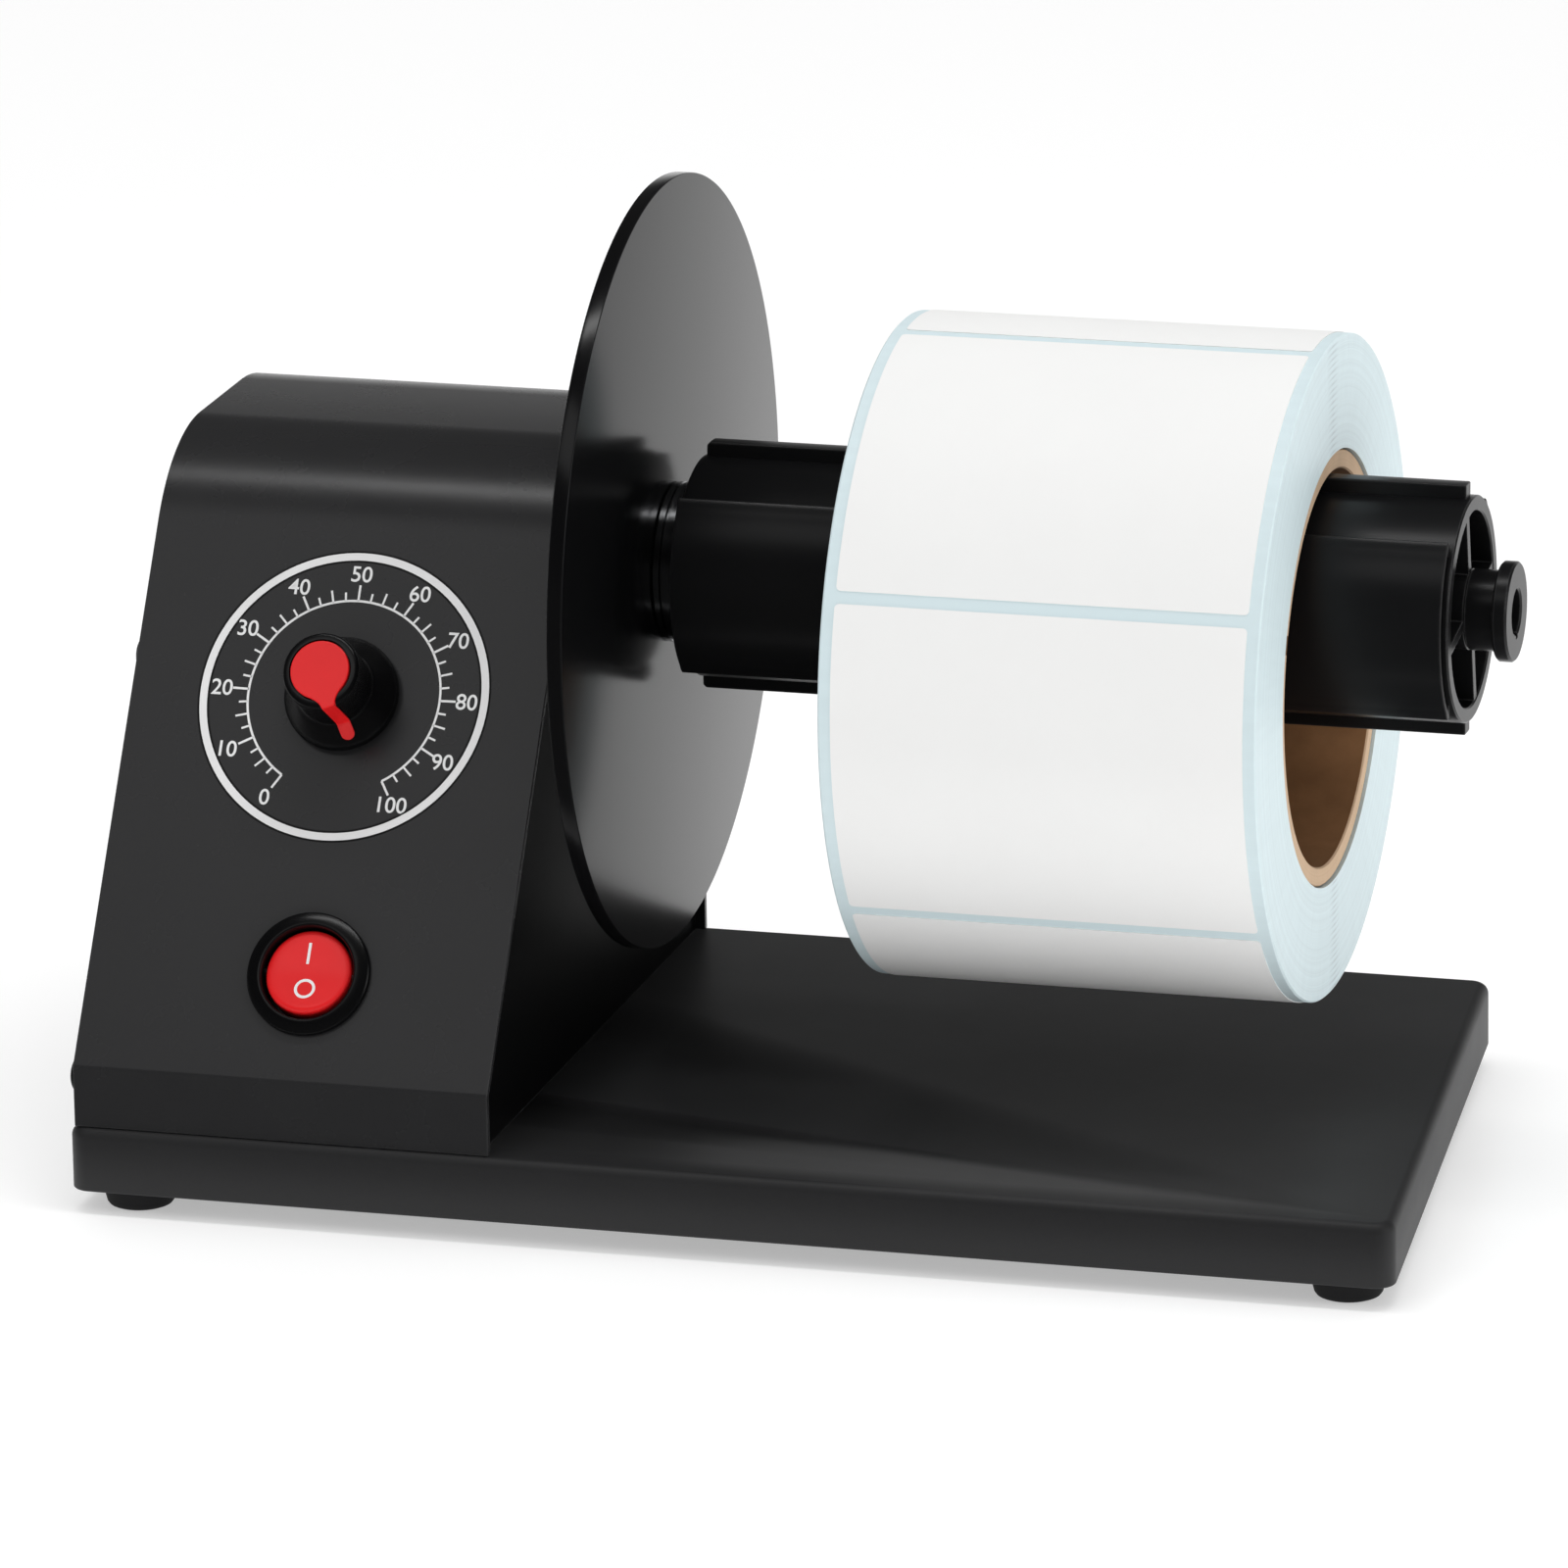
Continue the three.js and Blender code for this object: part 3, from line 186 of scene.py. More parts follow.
floor_mesh = bpy.data.meshes.new("floor")
floor_mesh.from_pydata([
    (-floor_reach, -floor_reach, 0),
    (floor_reach, -floor_reach, 0),
    (floor_reach, floor_reach, 0),
    (-floor_reach, floor_reach, 0),
], [], [(0, 1, 2, 3)])
floor = bpy.data.objects.new("floor", floor_mesh)
bpy.context.collection.objects.link(floor)
floor_paint, tree, shader = bare_finish("floor_paint", floor_roughness, 0.0, floor_specular)
shader.inputs["Base Color"].default_value = grey(floor_white)
shader.inputs["Emission Color"].default_value = grey(1)
glow = map_range(tree, seen_ray(tree), 0, 1, floor_bounce, floor_glow)
tree.links.new(glow, shader.inputs["Emission Strength"])

# Gloss mirrors a dark floor in front of the rewinder, as it does a dark room
in_front = map_range(tree, parts_of(tree, surface_of(tree)["Position"])["Y"], floor_front, floor_near, 1, 0)
dimmed = times(tree, in_front, add_node(tree, "ShaderNodeLightPath").outputs["Is Glossy Ray"])
dark_floor = add_node(tree, "ShaderNodeEmission", {"Color": grey(floor_seen)})
either_floor = add_node(tree, "ShaderNodeMixShader", {
    0: dimmed, 1: shader.outputs[0], 2: dark_floor.outputs[0]})
tree.links.new(either_floor.outputs[0], tree.nodes["Material Output"].inputs["Surface"])
floor.data.materials.append(floor_paint)

# Light: the room lights the rewinder mostly from above, and three soft boxes shape it
front_light = 0.27
rear_light = 0.4
low_light = 0.9
high_light = 2.35
high_way = 0.9
front_seen = 0.07
ceiling_seen = 0.05
wall_edge = 0.3
ceiling_way = 0.31
lamp_aim = Vector((0, 0, 0.1))

room = bpy.data.worlds.new("room")
room.use_nodes = True
bpy.context.scene.world = room
air = room.node_tree
wall = air.nodes["Background"]
wall.inputs["Color"].default_value = grey(1)
view_way = parts_of(air, add_node(air, "ShaderNodeTexCoord").outputs["Generated"])


def by_way(front, rear, edge, low, high, height):
    """A strength that changes smoothly from front to rear, times one from level to straight up."""
    return times(air, map_range(air, view_way["Y"], -edge, edge, front, rear, "SMOOTHSTEP"),
                 map_range(air, view_way["Z"], 0, height, low, high, "SMOOTHSTEP"))


# Gloss mirrors a pale wall behind the rewinder, a dark room in front and a dark ceiling
lighting = by_way(front_light, rear_light, 1, low_light, high_light, high_way)
mirrored = by_way(front_seen, 1, wall_edge, 1, ceiling_seen, ceiling_way)
strength = add_node(air, "ShaderNodeMix", {0: seen_ray(air), 2: lighting, 3: mirrored})
air.links.new(strength.outputs[0], wall.inputs["Strength"])


def hang_lamp(name, place, width, height, watts):
    """A soft box that faces the rewinder."""
    lamp = bpy.data.objects.new(name, bpy.data.lights.new(name, "AREA"))
    lamp.data.shape = "RECTANGLE"
    lamp.data.size = width
    lamp.data.size_y = height
    lamp.data.energy = watts
    lamp.location = place
    lamp.rotation_euler = (lamp_aim - Vector(place)).to_track_quat("-Z", "Y").to_euler()
    bpy.context.collection.objects.link(lamp)


hang_lamp("key_lamp", (-0.4, -1.15, 1.45), 0.9, 0.6, 2.2)
hang_lamp("overhead_lamp", (0.0, -0.1, 1.6), 1.3, 0.16, 7.5)
hang_lamp("side_lamp", (1.6, -0.3, 0.6), 0.9, 0.9, 4.5)


# Shapes: bodies skinned between loops of points, turned, drawn out, cut and softened
tray_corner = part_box("base_tray")[0]


def at(x, y, z):
    """A place in millimetres from the tray's front left corner, at table height."""
    return Vector((tray_corner.x + x * mm, tray_corner.y + y * mm, z * mm))


def frame_from(origin, x_way, y_way, z_way):
    """A place and three directions for what is drawn in millimetres in its own frame."""
    turn = Matrix((Vector(x_way), Vector(y_way), Vector(z_way))).transposed().to_4x4()
    return Matrix.Translation(at(*origin)) @ turn @ Matrix.Scale(mm, 4)


def moved(frame_matrix, x, y, z=0):
    return frame_matrix @ Matrix.Translation((x, y, z))


def turned_by(frame_matrix, angle):
    return frame_matrix @ Matrix.Rotation(angle, 4, "Z")


def skin(form, frame_matrix, loops, closed=False):
    """Faces between loops of equally many points: closed into a ring of loops, or capped."""
    rows = [[form.verts.new(frame_matrix @ Vector(point)) for point in loop] for loop in loops]
    count = len(rows[0])
    for low, high in zip(rows, rows[1:] + ([rows[0]] if closed else [])):
        for k in range(count):
            after = (k + 1) % count
            form.faces.new((low[k], low[after], high[after], high[k]))
    if not closed:
        form.faces.new(list(reversed(rows[0])))
        form.faces.new(rows[-1])


def ring_of(radius, height, sides):
    return [(radius * math.cos(turn), radius * math.sin(turn), height)
            for turn in (full_turn * k / sides for k in range(sides))]


def turned(form, frame_matrix, profile, sides=96):
    """A body of revolution about the frame's Z, from [height, radius] pairs round its section."""
    skin(form, frame_matrix, [ring_of(radius, height, sides) for height, radius in profile], closed=True)


def prism(form, frame_matrix, outline, low, high):
    skin(form, frame_matrix, [[(x, y, z) for x, y in outline] for z in (low, high)])


def rectangle(x0, y0, x1, y1):
    return [(x0, y0), (x1, y0), (x1, y1), (x0, y1)]


def bar(half_width, half_length):
    return rectangle(-half_width, -half_length, half_width, half_length)


def made(name, form, sharp=35):
    """The object of a form: doubles merged, faces outwards, smooth but for its sharp edges."""
    bmesh.ops.remove_doubles(form, verts=form.verts, dist=0.002 * mm)
    bmesh.ops.recalc_face_normals(form, faces=form.faces)
    mesh = bpy.data.meshes.new(name)
    form.to_mesh(mesh)
    form.free()
    mesh.shade_smooth()
    mesh.set_sharp_from_angle(angle=math.radians(sharp))
    thing = bpy.data.objects.new(name, mesh)
    bpy.context.collection.objects.link(thing)
    return thing


def turned_piece(name, frame_matrix, profile, sides=96, sharp=35):
    form = bmesh.new()
    turned(form, frame_matrix, profile, sides)
    return made(name, form, sharp)


def prism_piece(name, frame_matrix, outline, low, high):
    form = bmesh.new()
    prism(form, frame_matrix, outline, low, high)
    return made(name, form)


def settle(thing):
    """Turns a piece's modifiers into its plain mesh."""
    bpy.context.view_layer.update()
    evaluated = thing.evaluated_get(bpy.context.evaluated_depsgraph_get())
    mesh = bpy.data.meshes.new_from_object(evaluated)
    thing.modifiers.clear()
    thing.data = mesh


def cut_away(thing, cutters):
    for cutter in cutters:
        bite = thing.modifiers.new("cut", "BOOLEAN")
        bite.object = cutter
        bite.operation = "DIFFERENCE"
    settle(thing)
    for cutter in cutters:
        bpy.data.objects.remove(cutter)


def drill(frame_matrix, radius, low, high):
    return turned_piece("drill", frame_matrix, [(low, 0), (low, radius), (high, radius), (high, 0)], 48)


def cross_recess(frame_matrix, turn, half_width, half_length, low, high):
    """Two crossed cutters for a screw's head."""
    outline = bar(half_width, half_length)
    return [prism_piece("slot", turned_by(frame_matrix, turn + more), outline, low, high)
            for more in (0, math.pi / 2)]


def soften(thing, width, segments=2, angle=35):
    """A small round on a piece's sharp edges."""
    edge = thing.modifiers.new("edge", "BEVEL")
    edge.width = width * mm
    edge.segments = segments
    edge.limit_method = "ANGLE"
    edge.angle_limit = math.radians(angle)
    edge.use_clamp_overlap = True
    edge.harden_normals = True


def bent(corners, inset=0.0, closed=False, steps=8):
    """An outline through clockwise corners of (x, y, bend radius), every bend concentric."""
    count = len(corners)
    places = [Vector(corner[:2]) for corner in corners]

    def inward(k):
        way = (places[(k + 1) % count] - places[k % count]).normalized()
        return Vector((way.y, -way.x))

    points = []
    for k, (x, y, radius) in enumerate(corners):
        before = inward(k if not closed and k == 0 else k - 1)
        after = inward(k - 1 if not closed and k == count - 1 else k)
        diagonal = (before + after) / (1 + before.dot(after))
        if radius <= inset:
            points.append(tuple(places[k] + diagonal * inset))
            continue
        middle = places[k] + diagonal * radius
        start = math.atan2(-before.y, -before.x)
        turn = math.acos(max(-1.0, min(1.0, before.dot(after))))
        for step in range(steps + 1):
            angle = start - turn * step / steps
            reach = radius - inset
            points.append((middle.x + reach * math.cos(angle), middle.y + reach * math.sin(angle)))
    return points


def paint(finish, *pieces):
    for piece in pieces:
        piece.data.materials.clear()
        piece.data.materials.append(finish)


def dress(finish, *names):
    """Gives a finish to solids of the frame that stay as they are."""
    for name in names:
        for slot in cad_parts[name].material_slots:
            slot.material = finish


def effect(name, inputs, outputs):
    """A shader node group with named number inputs and named outputs, and its two end nodes."""
    group = bpy.data.node_groups.new(name, "ShaderNodeTree")
    for label, value in inputs.items():
        socket = group.interface.new_socket(label, in_out="INPUT", socket_type="NodeSocketFloat")
        socket.default_value = value
    for label in outputs:
        group.interface.new_socket(label, in_out="OUTPUT", socket_type="NodeSocketFloat")
    return group, group.nodes.new("NodeGroupInput").outputs, group.nodes.new("NodeGroupOutput").inputs


# Grain: the orange peel of powder coat, or the spark-eroded texture of a mould
grain, given, result = effect("surface_grain", {"Scale": 900.0, "Mottle Scale": 40.0}, ["Height", "Mottle"])
where = own_place(grain)
grain.links.new(noise_node(grain, where, given["Scale"], 3.0, 0.6), result["Height"])
grain.links.new(noise_node(grain, where, given["Mottle Scale"], 4.0, 0.6), result["Mottle"])

# Edge wear and painted highlight: a mask on edges that hands and boxes rub and that catch the light, broken
# up by noise; the finishes lighten what it marks
edge_light_and_wear, given, result = effect("edge_wear", {"Reach": 0.0006, "Amount": 1.0}, ["Mask"])
rounded = add_node(edge_light_and_wear, "ShaderNodeBevel", {"Radius": given["Reach"]}, samples=4).outputs[0]
facing = add_node(edge_light_and_wear, "ShaderNodeVectorMath", {0: rounded, 1: surface_of(edge_light_and_wear)["Normal"]},
                  operation="DOT_PRODUCT").outputs["Value"]
lean = math_node(edge_light_and_wear, "SUBTRACT", 1.0, facing)
broken = times(edge_light_and_wear, lean, noise_node(edge_light_and_wear, own_place(edge_light_and_wear), 350.0, 4.0, 0.7))
worn_and_lit_edges = add_node(edge_light_and_wear, "ShaderNodeClamp", {"Value": times(edge_light_and_wear, broken, given["Amount"])})
edge_light_and_wear.links.new(worn_and_lit_edges.outputs[0], result["Mask"])

# Dust: a thin broken film on what faces up
dust, given, result = effect("dust_film", {"Amount": 0.1, "Scale": 60.0}, ["Mask"])
lying = math_node(dust, "MAXIMUM", parts_of(dust, surface_of(dust)["Normal"])["Z"], 0.0)
patches = times(dust, lying, noise_node(dust, own_place(dust), given["Scale"], 5.0, 0.65))
dust.links.new(times(dust, patches, given["Amount"]), result["Mask"])


def placed(tree, group, **values):
    """A group's outputs in a material, with that material's own values."""
    inputs = {label.replace("_", " ").title(): value for label, value in values.items()}
    return add_node(tree, "ShaderNodeGroup", inputs, node_tree=group).outputs


def coated(name, color, roughness, grain_scale, depth, specular=0.3, wear_and_highlight=1.6, wear_and_highlight_grey=0.2, dusty=0.01):
    """A coat or moulded plastic: mottled colour, grain, edges lightened as wear and as a painted highlight,
    and a little dust.
    """
    dust_color = (0.35, 0.34, 0.32, 1)
    uneven = 0.03
    finish, tree, shader = bare_finish(name, roughness, 0.0, specular)
    surface = placed(tree, grain, scale=grain_scale, mottle_scale=55.0)
    coat = shaded(tree, surface["Mottle"], color, 0.92, 1.08)
    speckled = mixed(tree, times(tree, surface["Height"], 0.12), coat, toned(color, 2.4))
    # Lighter edges: rubbed wear and a painted highlight where the edges catch the light
    edged = mixed(tree, placed(tree, edge_light_and_wear, reach=0.0005, amount=wear_and_highlight)["Mask"], speckled, grey(wear_and_highlight_grey))
    dusted = mixed(tree, placed(tree, dust, amount=dusty)["Mask"], edged, dust_color)
    spread = map_range(tree, surface["Mottle"], 0, 1, roughness - uneven, roughness + uneven)
    tree.links.new(dusted, shader.inputs["Base Color"])
    tree.links.new(spread, shader.inputs["Roughness"])
    give_bump(tree, shader, surface["Height"], 0.6, depth)
    return finish


def metal(name, color, roughness, turn_marks=0.0):
    """Bare or plated metal: tarnish, and fine scratches that run round an X axis."""
    uneven = 0.12
    finish, tree, shader = bare_finish(name, roughness, 1.0)
    where = own_place(tree)
    base = shaded(tree, noise_node(tree, where, 120.0, 4.0, 0.6), color, 0.72, 1.1)
    stretch = add_node(tree, "ShaderNodeMapping", {"Vector": where, "Scale": (900.0, 60.0, 60.0)})
    scratches = noise_node(tree, stretch.outputs[0], 1.0, 3.0, 0.7)
    # Lighter edges: rubbed wear and a painted highlight
    worn_and_lit_edges = placed(tree, edge_light_and_wear, reach=0.0003, amount=0.6)["Mask"]
    spread = map_range(tree, scratches, 0, 1, max(0.05, roughness - uneven), roughness + uneven)
    tree.links.new(mixed(tree, worn_and_lit_edges, base, toned(color, 1.25)), shader.inputs["Base Color"])
    tree.links.new(spread, shader.inputs["Roughness"])
    give_bump(tree, shader, scratches, 0.3 + turn_marks, 0.006)
    return finish


def gloss_plastic(name, color, roughness=0.3):
    """A smooth moulding or ink with a faint mottle and edges lightened as wear and as a painted highlight.
    """
    finish, tree, shader = bare_finish(name, roughness, 0.0, 0.3)
    surface = placed(tree, grain, scale=2400.0, mottle_scale=70.0)
    body = shaded(tree, surface["Mottle"], color, 0.9, 1.08)
    worn_and_lit_edges = placed(tree, edge_light_and_wear, reach=0.0004, amount=0.8)["Mask"]
    tree.links.new(mixed(tree, worn_and_lit_edges, body, toned(color, 1.5)), shader.inputs["Base Color"])
    give_bump(tree, shader, surface["Height"], 0.3, 0.003)
    return finish


def copies(name, inputs):
    """A geometry node tree that sets out copies of a piece, with named inputs."""
    tree = bpy.data.node_groups.new(name, "GeometryNodeTree")
    tree.interface.new_socket("Geometry", in_out="INPUT", socket_type="NodeSocketGeometry")
    for label, kind in inputs.items():
        tree.interface.new_socket(label, in_out="INPUT", socket_type=kind)
    tree.interface.new_socket("Geometry", in_out="OUTPUT", socket_type="NodeSocketGeometry")
    return tree, tree.nodes.new("NodeGroupInput").outputs


def sampled(tree, given, points, **more):
    """The piece's copies on points, before anything turns them."""
    sample = add_node(tree, "GeometryNodeObjectInfo", {"Object": given["Piece"]},
                      transform_space="ORIGINAL")
    return add_node(tree, "GeometryNodeInstanceOnPoints", {
        "Points": points, "Instance": sample.outputs["Geometry"], **more}).outputs[0]


def finish_copies(tree, given, set_out):
    whole = add_node(tree, "GeometryNodeRealizeInstances", {0: set_out})
    coat = add_node(tree, "GeometryNodeSetMaterial", {
        "Geometry": whole.outputs[0], "Material": given["Finish"]})
    add_node(tree, "NodeGroupOutput", {0: coat.outputs[0]})


# Copies of a piece at marked places, such as the four screws of a plate
at_places, given = copies("copies_at_places", {
    "Piece": "NodeSocketObject", "Finish": "NodeSocketMaterial", "Size": "NodeSocketFloat"})
finish_copies(at_places, given, sampled(at_places, given, given["Geometry"], Scale=given["Size"]))

# Copies of a piece turned about an axis by equal steps, such as the ticks of a dial
about_axis, given = copies("copies_about_axis", {
    "Piece": "NodeSocketObject", "Finish": "NodeSocketMaterial", "Count": "NodeSocketInt",
    "First Turn": "NodeSocketFloat", "Step": "NodeSocketFloat", "Axis": "NodeSocketVector",
    "Centre": "NodeSocketVector"})
points = add_node(about_axis, "GeometryNodePoints", {"Count": given["Count"]}).outputs[0]
number = add_node(about_axis, "GeometryNodeInputIndex").outputs[0]
angle = math_node(about_axis, "MULTIPLY_ADD", number, given["Step"], given["First Turn"])
spin = add_node(about_axis, "FunctionNodeAxisAngleToRotation", {"Axis": given["Axis"], "Angle": angle})
turn = add_node(about_axis, "GeometryNodeRotateInstances", {
    "Instances": sampled(about_axis, given, points), "Rotation": spin.outputs[0],
    "Pivot Point": given["Centre"], "Local Space": False})
finish_copies(about_axis, given, turn.outputs[0])


def set_out(name, places, tree, piece, finish, **values):
    """One plain mesh of a piece's copies, as a node tree sets them out."""
    values.update(Piece=piece, Finish=finish)
    marks = bpy.data.meshes.new(name)
    marks.from_pydata(places, [], [])
    thing = bpy.data.objects.new(name, marks)
    bpy.context.collection.objects.link(thing)
    modifier = thing.modifiers.new("set_out", "NODES")
    modifier.node_group = tree
    for item in tree.interface.items_tree:
        label = item.name.replace(" ", "_")
        if item.item_type == "SOCKET" and item.in_out == "INPUT" and label in values:
            modifier[item.identifier] = values[label]
    settle(thing)
    bpy.data.objects.remove(piece)
    return thing


def copied_at(name, piece, places, finish):
    return set_out(name, [at(*place) for place in places], at_places, piece, finish, Size=1.0)


def copied_about(name, piece, finish, frame_matrix, count, first_turn, step):
    """Copies turned about the Z of a frame."""
    return set_out(name, [], about_axis, piece, finish, Count=count, First_Turn=first_turn, Step=step,
                   Axis=tuple(frame_matrix.to_3x3().col[2].normalized()),
                   Centre=tuple(frame_matrix.translation))


table = frame_from((0, 0, 0), (1, 0, 0), (0, 1, 0), (0, 0, 1))
own = Matrix.Scale(mm, 4)

# Tray: one steel sheet folded down on its four sides, coated, open underneath, with four bosses
tray_corners = [(0, 0, 4), (0, 153, 4), (244.7, 153, 4), (260, 0, 4)]
tray_bottom = 4.5
tray_top = 17
tray_sheet = 1.5
tray_bend = 2
tray_rim = 0.2
foot_places = [(11.4, 9.6), (249.24, 9.6), (11.4, 143.4), (235.86, 143.4)]
boss_radius = 5
boss_bore = 1.58
boss_bottom = 12
boss_top = tray_top - tray_sheet + 0.01
vent_place = (51.5, 36)
vent_radius = 12
tray_grey = linear(37, 37, 38)

tray_paint = coated("tray_paint", tray_grey, 0.5, 1500.0, 0.012, specular=0.22)
bend_middle = tray_top - tray_bend
inner_bend = tray_bend - tray_sheet
section = []
for step in range(9):
    angle = math.pi / 2 * (1 - step / 8)
    section.append((bend_middle + tray_bend * math.sin(angle), tray_bend * (1 - math.cos(angle))))
section += [(tray_bottom + tray_rim, 0), (tray_bottom, tray_rim), (tray_bottom, tray_sheet - tray_rim),
            (tray_bottom + tray_rim, tray_sheet)]
for step in range(5):
    angle = math.pi / 2 * step / 4
    section.append((bend_middle + inner_bend * math.sin(angle), tray_bend - inner_bend * math.cos(angle)))
form = bmesh.new()
skin(form, table, [[(x, y, z) for x, y in bent(tray_corners, inset, closed=True)] for z, inset in section])
tray = made("folded_tray", form, sharp=50)
cut_away(tray, [drill(moved(table, *vent_place), vent_radius, 10, 20)])
form = bmesh.new()
for place in foot_places:
    turned(form, moved(table, *place), [(boss_bottom, boss_bore), (boss_bottom, boss_radius),
                                        (boss_top, boss_radius), (boss_top, boss_bore)], 48)
bosses = made("tray_bosses", form)
paint(tray_paint, tray, bosses)
for piece in (tray, bosses):
    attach(piece, "base")
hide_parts("base_tray")

# Feet: four rubber cones, each held by a zinc-plated screw that goes up through it into its boss
rubber_black = linear(22, 22, 23)
foot_profile = [(0, 3.8), (0, 5.5), (0.25, 6.1), (0.8, 6.5), (4.4, 7.4), (4.9, 7.5), (11.6, 7.5),
                (11.95, 7.2), (11.95, 1.8), (4, 1.8), (4, 3.8)]
screw_bottom = 2.05
screw_seat = 3.95
screw_top = 15.2
foot_screw_profile = [(screw_bottom, 0), (screw_bottom, 2.3), (screw_bottom + 0.5, 2.9), (screw_seat, 2.9),
                      (screw_seat, 1.5), (screw_top, 1.5), (screw_top, 0)]
zinc_grey = linear(190, 192, 188)

rubber = coated("foot_rubber", rubber_black, 0.75, 2200.0, 0.01, specular=0.2, wear_and_highlight_grey=0.06, dusty=0.15)
zinc = metal("zinc_plate", zinc_grey, 0.38)
on_table = [(x, y, 0) for x, y in foot_places]
feet = copied_at("rubber_feet", turned_piece("foot", own, foot_profile, 64), on_table, rubber)
foot_screw = turned_piece("foot_screw", own, foot_screw_profile, 32)
cut_away(foot_screw, cross_recess(own, 0, 0.35, 1.7, screw_bottom - 1, screw_bottom + 1))
foot_screws = copied_at("foot_screws", foot_screw, on_table, zinc)
corners = ("front_left", "front_right", "rear_left", "rear_right")
for piece, stem, slot in ((feet, "foot_", "foot_rubber"), (foot_screws, "foot_screw_", "zinc_steel")):
    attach(piece, "base")
    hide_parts(*(stem + corner for corner in corners))

# Side plates, bulkhead and posts: flat sheets that stiffen the housing, tied by steel posts
panel_grey = linear(38, 38, 39)
# The side plates take the housing's paint made near black: painted shade where the disc and housing shadow
# them
plate_shade_grey = linear(9, 9, 10)
steel_grey = linear(172, 174, 178)

panel_paint = coated("panel_paint", panel_grey, 0.27, 1700.0, 0.003, specular=0.27)
steel = metal("turned_steel", steel_grey, 0.3, turn_marks=0.3)
plate_paint = coated("plate_paint", plate_shade_grey, 0.45, 1700.0, 0.003, specular=0.02)
dress(plate_paint, "side_plate_left", "side_plate_right")
dress(zinc, "bulkhead")
dress(steel, "tie_post_front_low", "tie_post_front_high", "tie_post_rear_low", "tie_post_rear_high")

# Bearings: two carry the spindle, each in a zinc block on the bulkhead or the right side plate
dress(zinc, "bearing_block_inner", "bearing_block_outer")
dress(steel, "bearing_inner", "bearing_outer")

# Drive: a gearmotor on the bulkhead turns the spindle through two pulleys and a rubber belt
dark_steel_grey = linear(34, 35, 37)
plastic_black = linear(9, 9, 10)
belt_black = linear(26, 26, 27)

dark_steel = metal("dark_steel", dark_steel_grey, 0.42)
moulded = coated("moulded_black", plastic_black, 0.26, 1800.0, 0.004, specular=0.25, wear_and_highlight=0.7,
                 wear_and_highlight_grey=0.07, dusty=0.0)
belt_rubber = coated("belt_rubber", belt_black, 0.8, 3000.0, 0.01, specular=0.2, wear_and_highlight_grey=0.05)
dress(moulded, "driven_pulley", "drive_pulley")
dress(belt_rubber, "drive_belt")
dress(dark_steel, "motor_can")
dress(steel, "motor_gearbox", "motor_shaft")

# Control board: a green circuit board on brass standoffs, its small parts in the same green
brass = metal("brass", linear(196, 160, 84), 0.32)
board_green, tree, shader = bare_finish("circuit_green", 0.45)
tracks = add_node(tree, "ShaderNodeTexBrick", {
    "Vector": own_place(tree), "Scale": 260.0, "Mortar Size": 0.06, "Color1": linear(20, 74, 40),
    "Color2": linear(24, 84, 46), "Mortar": linear(52, 124, 72)}).outputs
tree.links.new(tracks["Color"], shader.inputs["Base Color"])
give_bump(tree, shader, tracks["Fac"], 0.4, 0.03)
dress(board_green, "control_board")
dress(brass, "board_standoff_1", "board_standoff_2", "board_standoff_3", "board_standoff_4")

# Housing cover: one bent, coated sheet with a low band, a slanted panel, round shoulders and a back
cover_left = 1.2
cover_right = 84
cover_front = 1.5
cover_rear = 151.5
cover_sheet = 1.5
cover_bottom = 17.05
crease_z = 29
cover_top = 136
front_shoulder = 32
rear_shoulder = 37
panel_tilt = math.radians(57)
slant_run = (cover_top - crease_z) / math.tan(panel_tilt)
cover_corners = [
    (cover_front, cover_bottom, 0),
    (cover_front, crease_z, 1.8),
    (cover_front + slant_run, cover_top, front_shoulder),
    (cover_rear, cover_top, rear_shoulder),
    (cover_rear, cover_bottom, 0),
]
lip_left = 22.3
lip_right = 80.2
lip_depth = 9
lip_gap = 1.4
switch_place = (45.5, 21.4)
dial_place = (44, 76.9)
inlet_place = (62, 151.5, 45)
barrel_hole = 10.3
shaft_hole = 4.3
inlet_hole = 4.8
hole_depth = 4

panel = frame_from((0, cover_front, crease_z), (1, 0, 0), (0, math.cos(panel_tilt), math.sin(panel_tilt)),
                   (0, -math.sin(panel_tilt), math.cos(panel_tilt)))
along = frame_from((0, 0, 0), (0, 1, 0), (0, 0, 1), (1, 0, 0))
inlet = frame_from(inlet_place, (1, 0, 0), (0, 0, -1), (0, 1, 0))
switch = moved(panel, *switch_place)
dial = moved(panel, *dial_place)

form = bmesh.new()
outer = bent(cover_corners, 0, steps=20)
outline = outer + list(reversed(bent(cover_corners, cover_sheet, steps=20)))
rows = [[form.verts.new(along @ Vector((y, z, x))) for y, z in outline] for x in (cover_left, cover_right)]
count = len(outline)
for k in range(count):
    after = (k + 1) % count
    form.faces.new((rows[0][k], rows[0][after], rows[1][after], rows[1][k]))
for row in rows:
    for k in range(len(outer) - 1):
        form.faces.new((row[k], row[k + 1], row[count - 2 - k], row[count - 1 - k]))
cover = made("housing_cover_sheet", form)
cut_away(cover, [drill(place, radius, -hole_depth, hole_depth) for place, radius in (
    (switch, barrel_hole), (dial, shaft_hole), (inlet, inlet_hole))])
soften(cover, 0.22, angle=40)
form = bmesh.new()
for y0, y1 in ((cover_front + lip_gap, cover_front + lip_depth),
               (cover_rear - lip_depth, cover_rear - lip_gap)):
    prism(form, table, rectangle(lip_left, y0, lip_right, y1), cover_bottom, cover_bottom + cover_sheet)
lips = made("cover_lips", form)
paint(panel_paint, cover, lips)
for piece in (cover, lips):
    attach(piece, "base")
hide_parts("housing_cover")
dress(zinc, "cover_screw_1", "cover_screw_2", "cover_screw_3", "cover_screw_4")

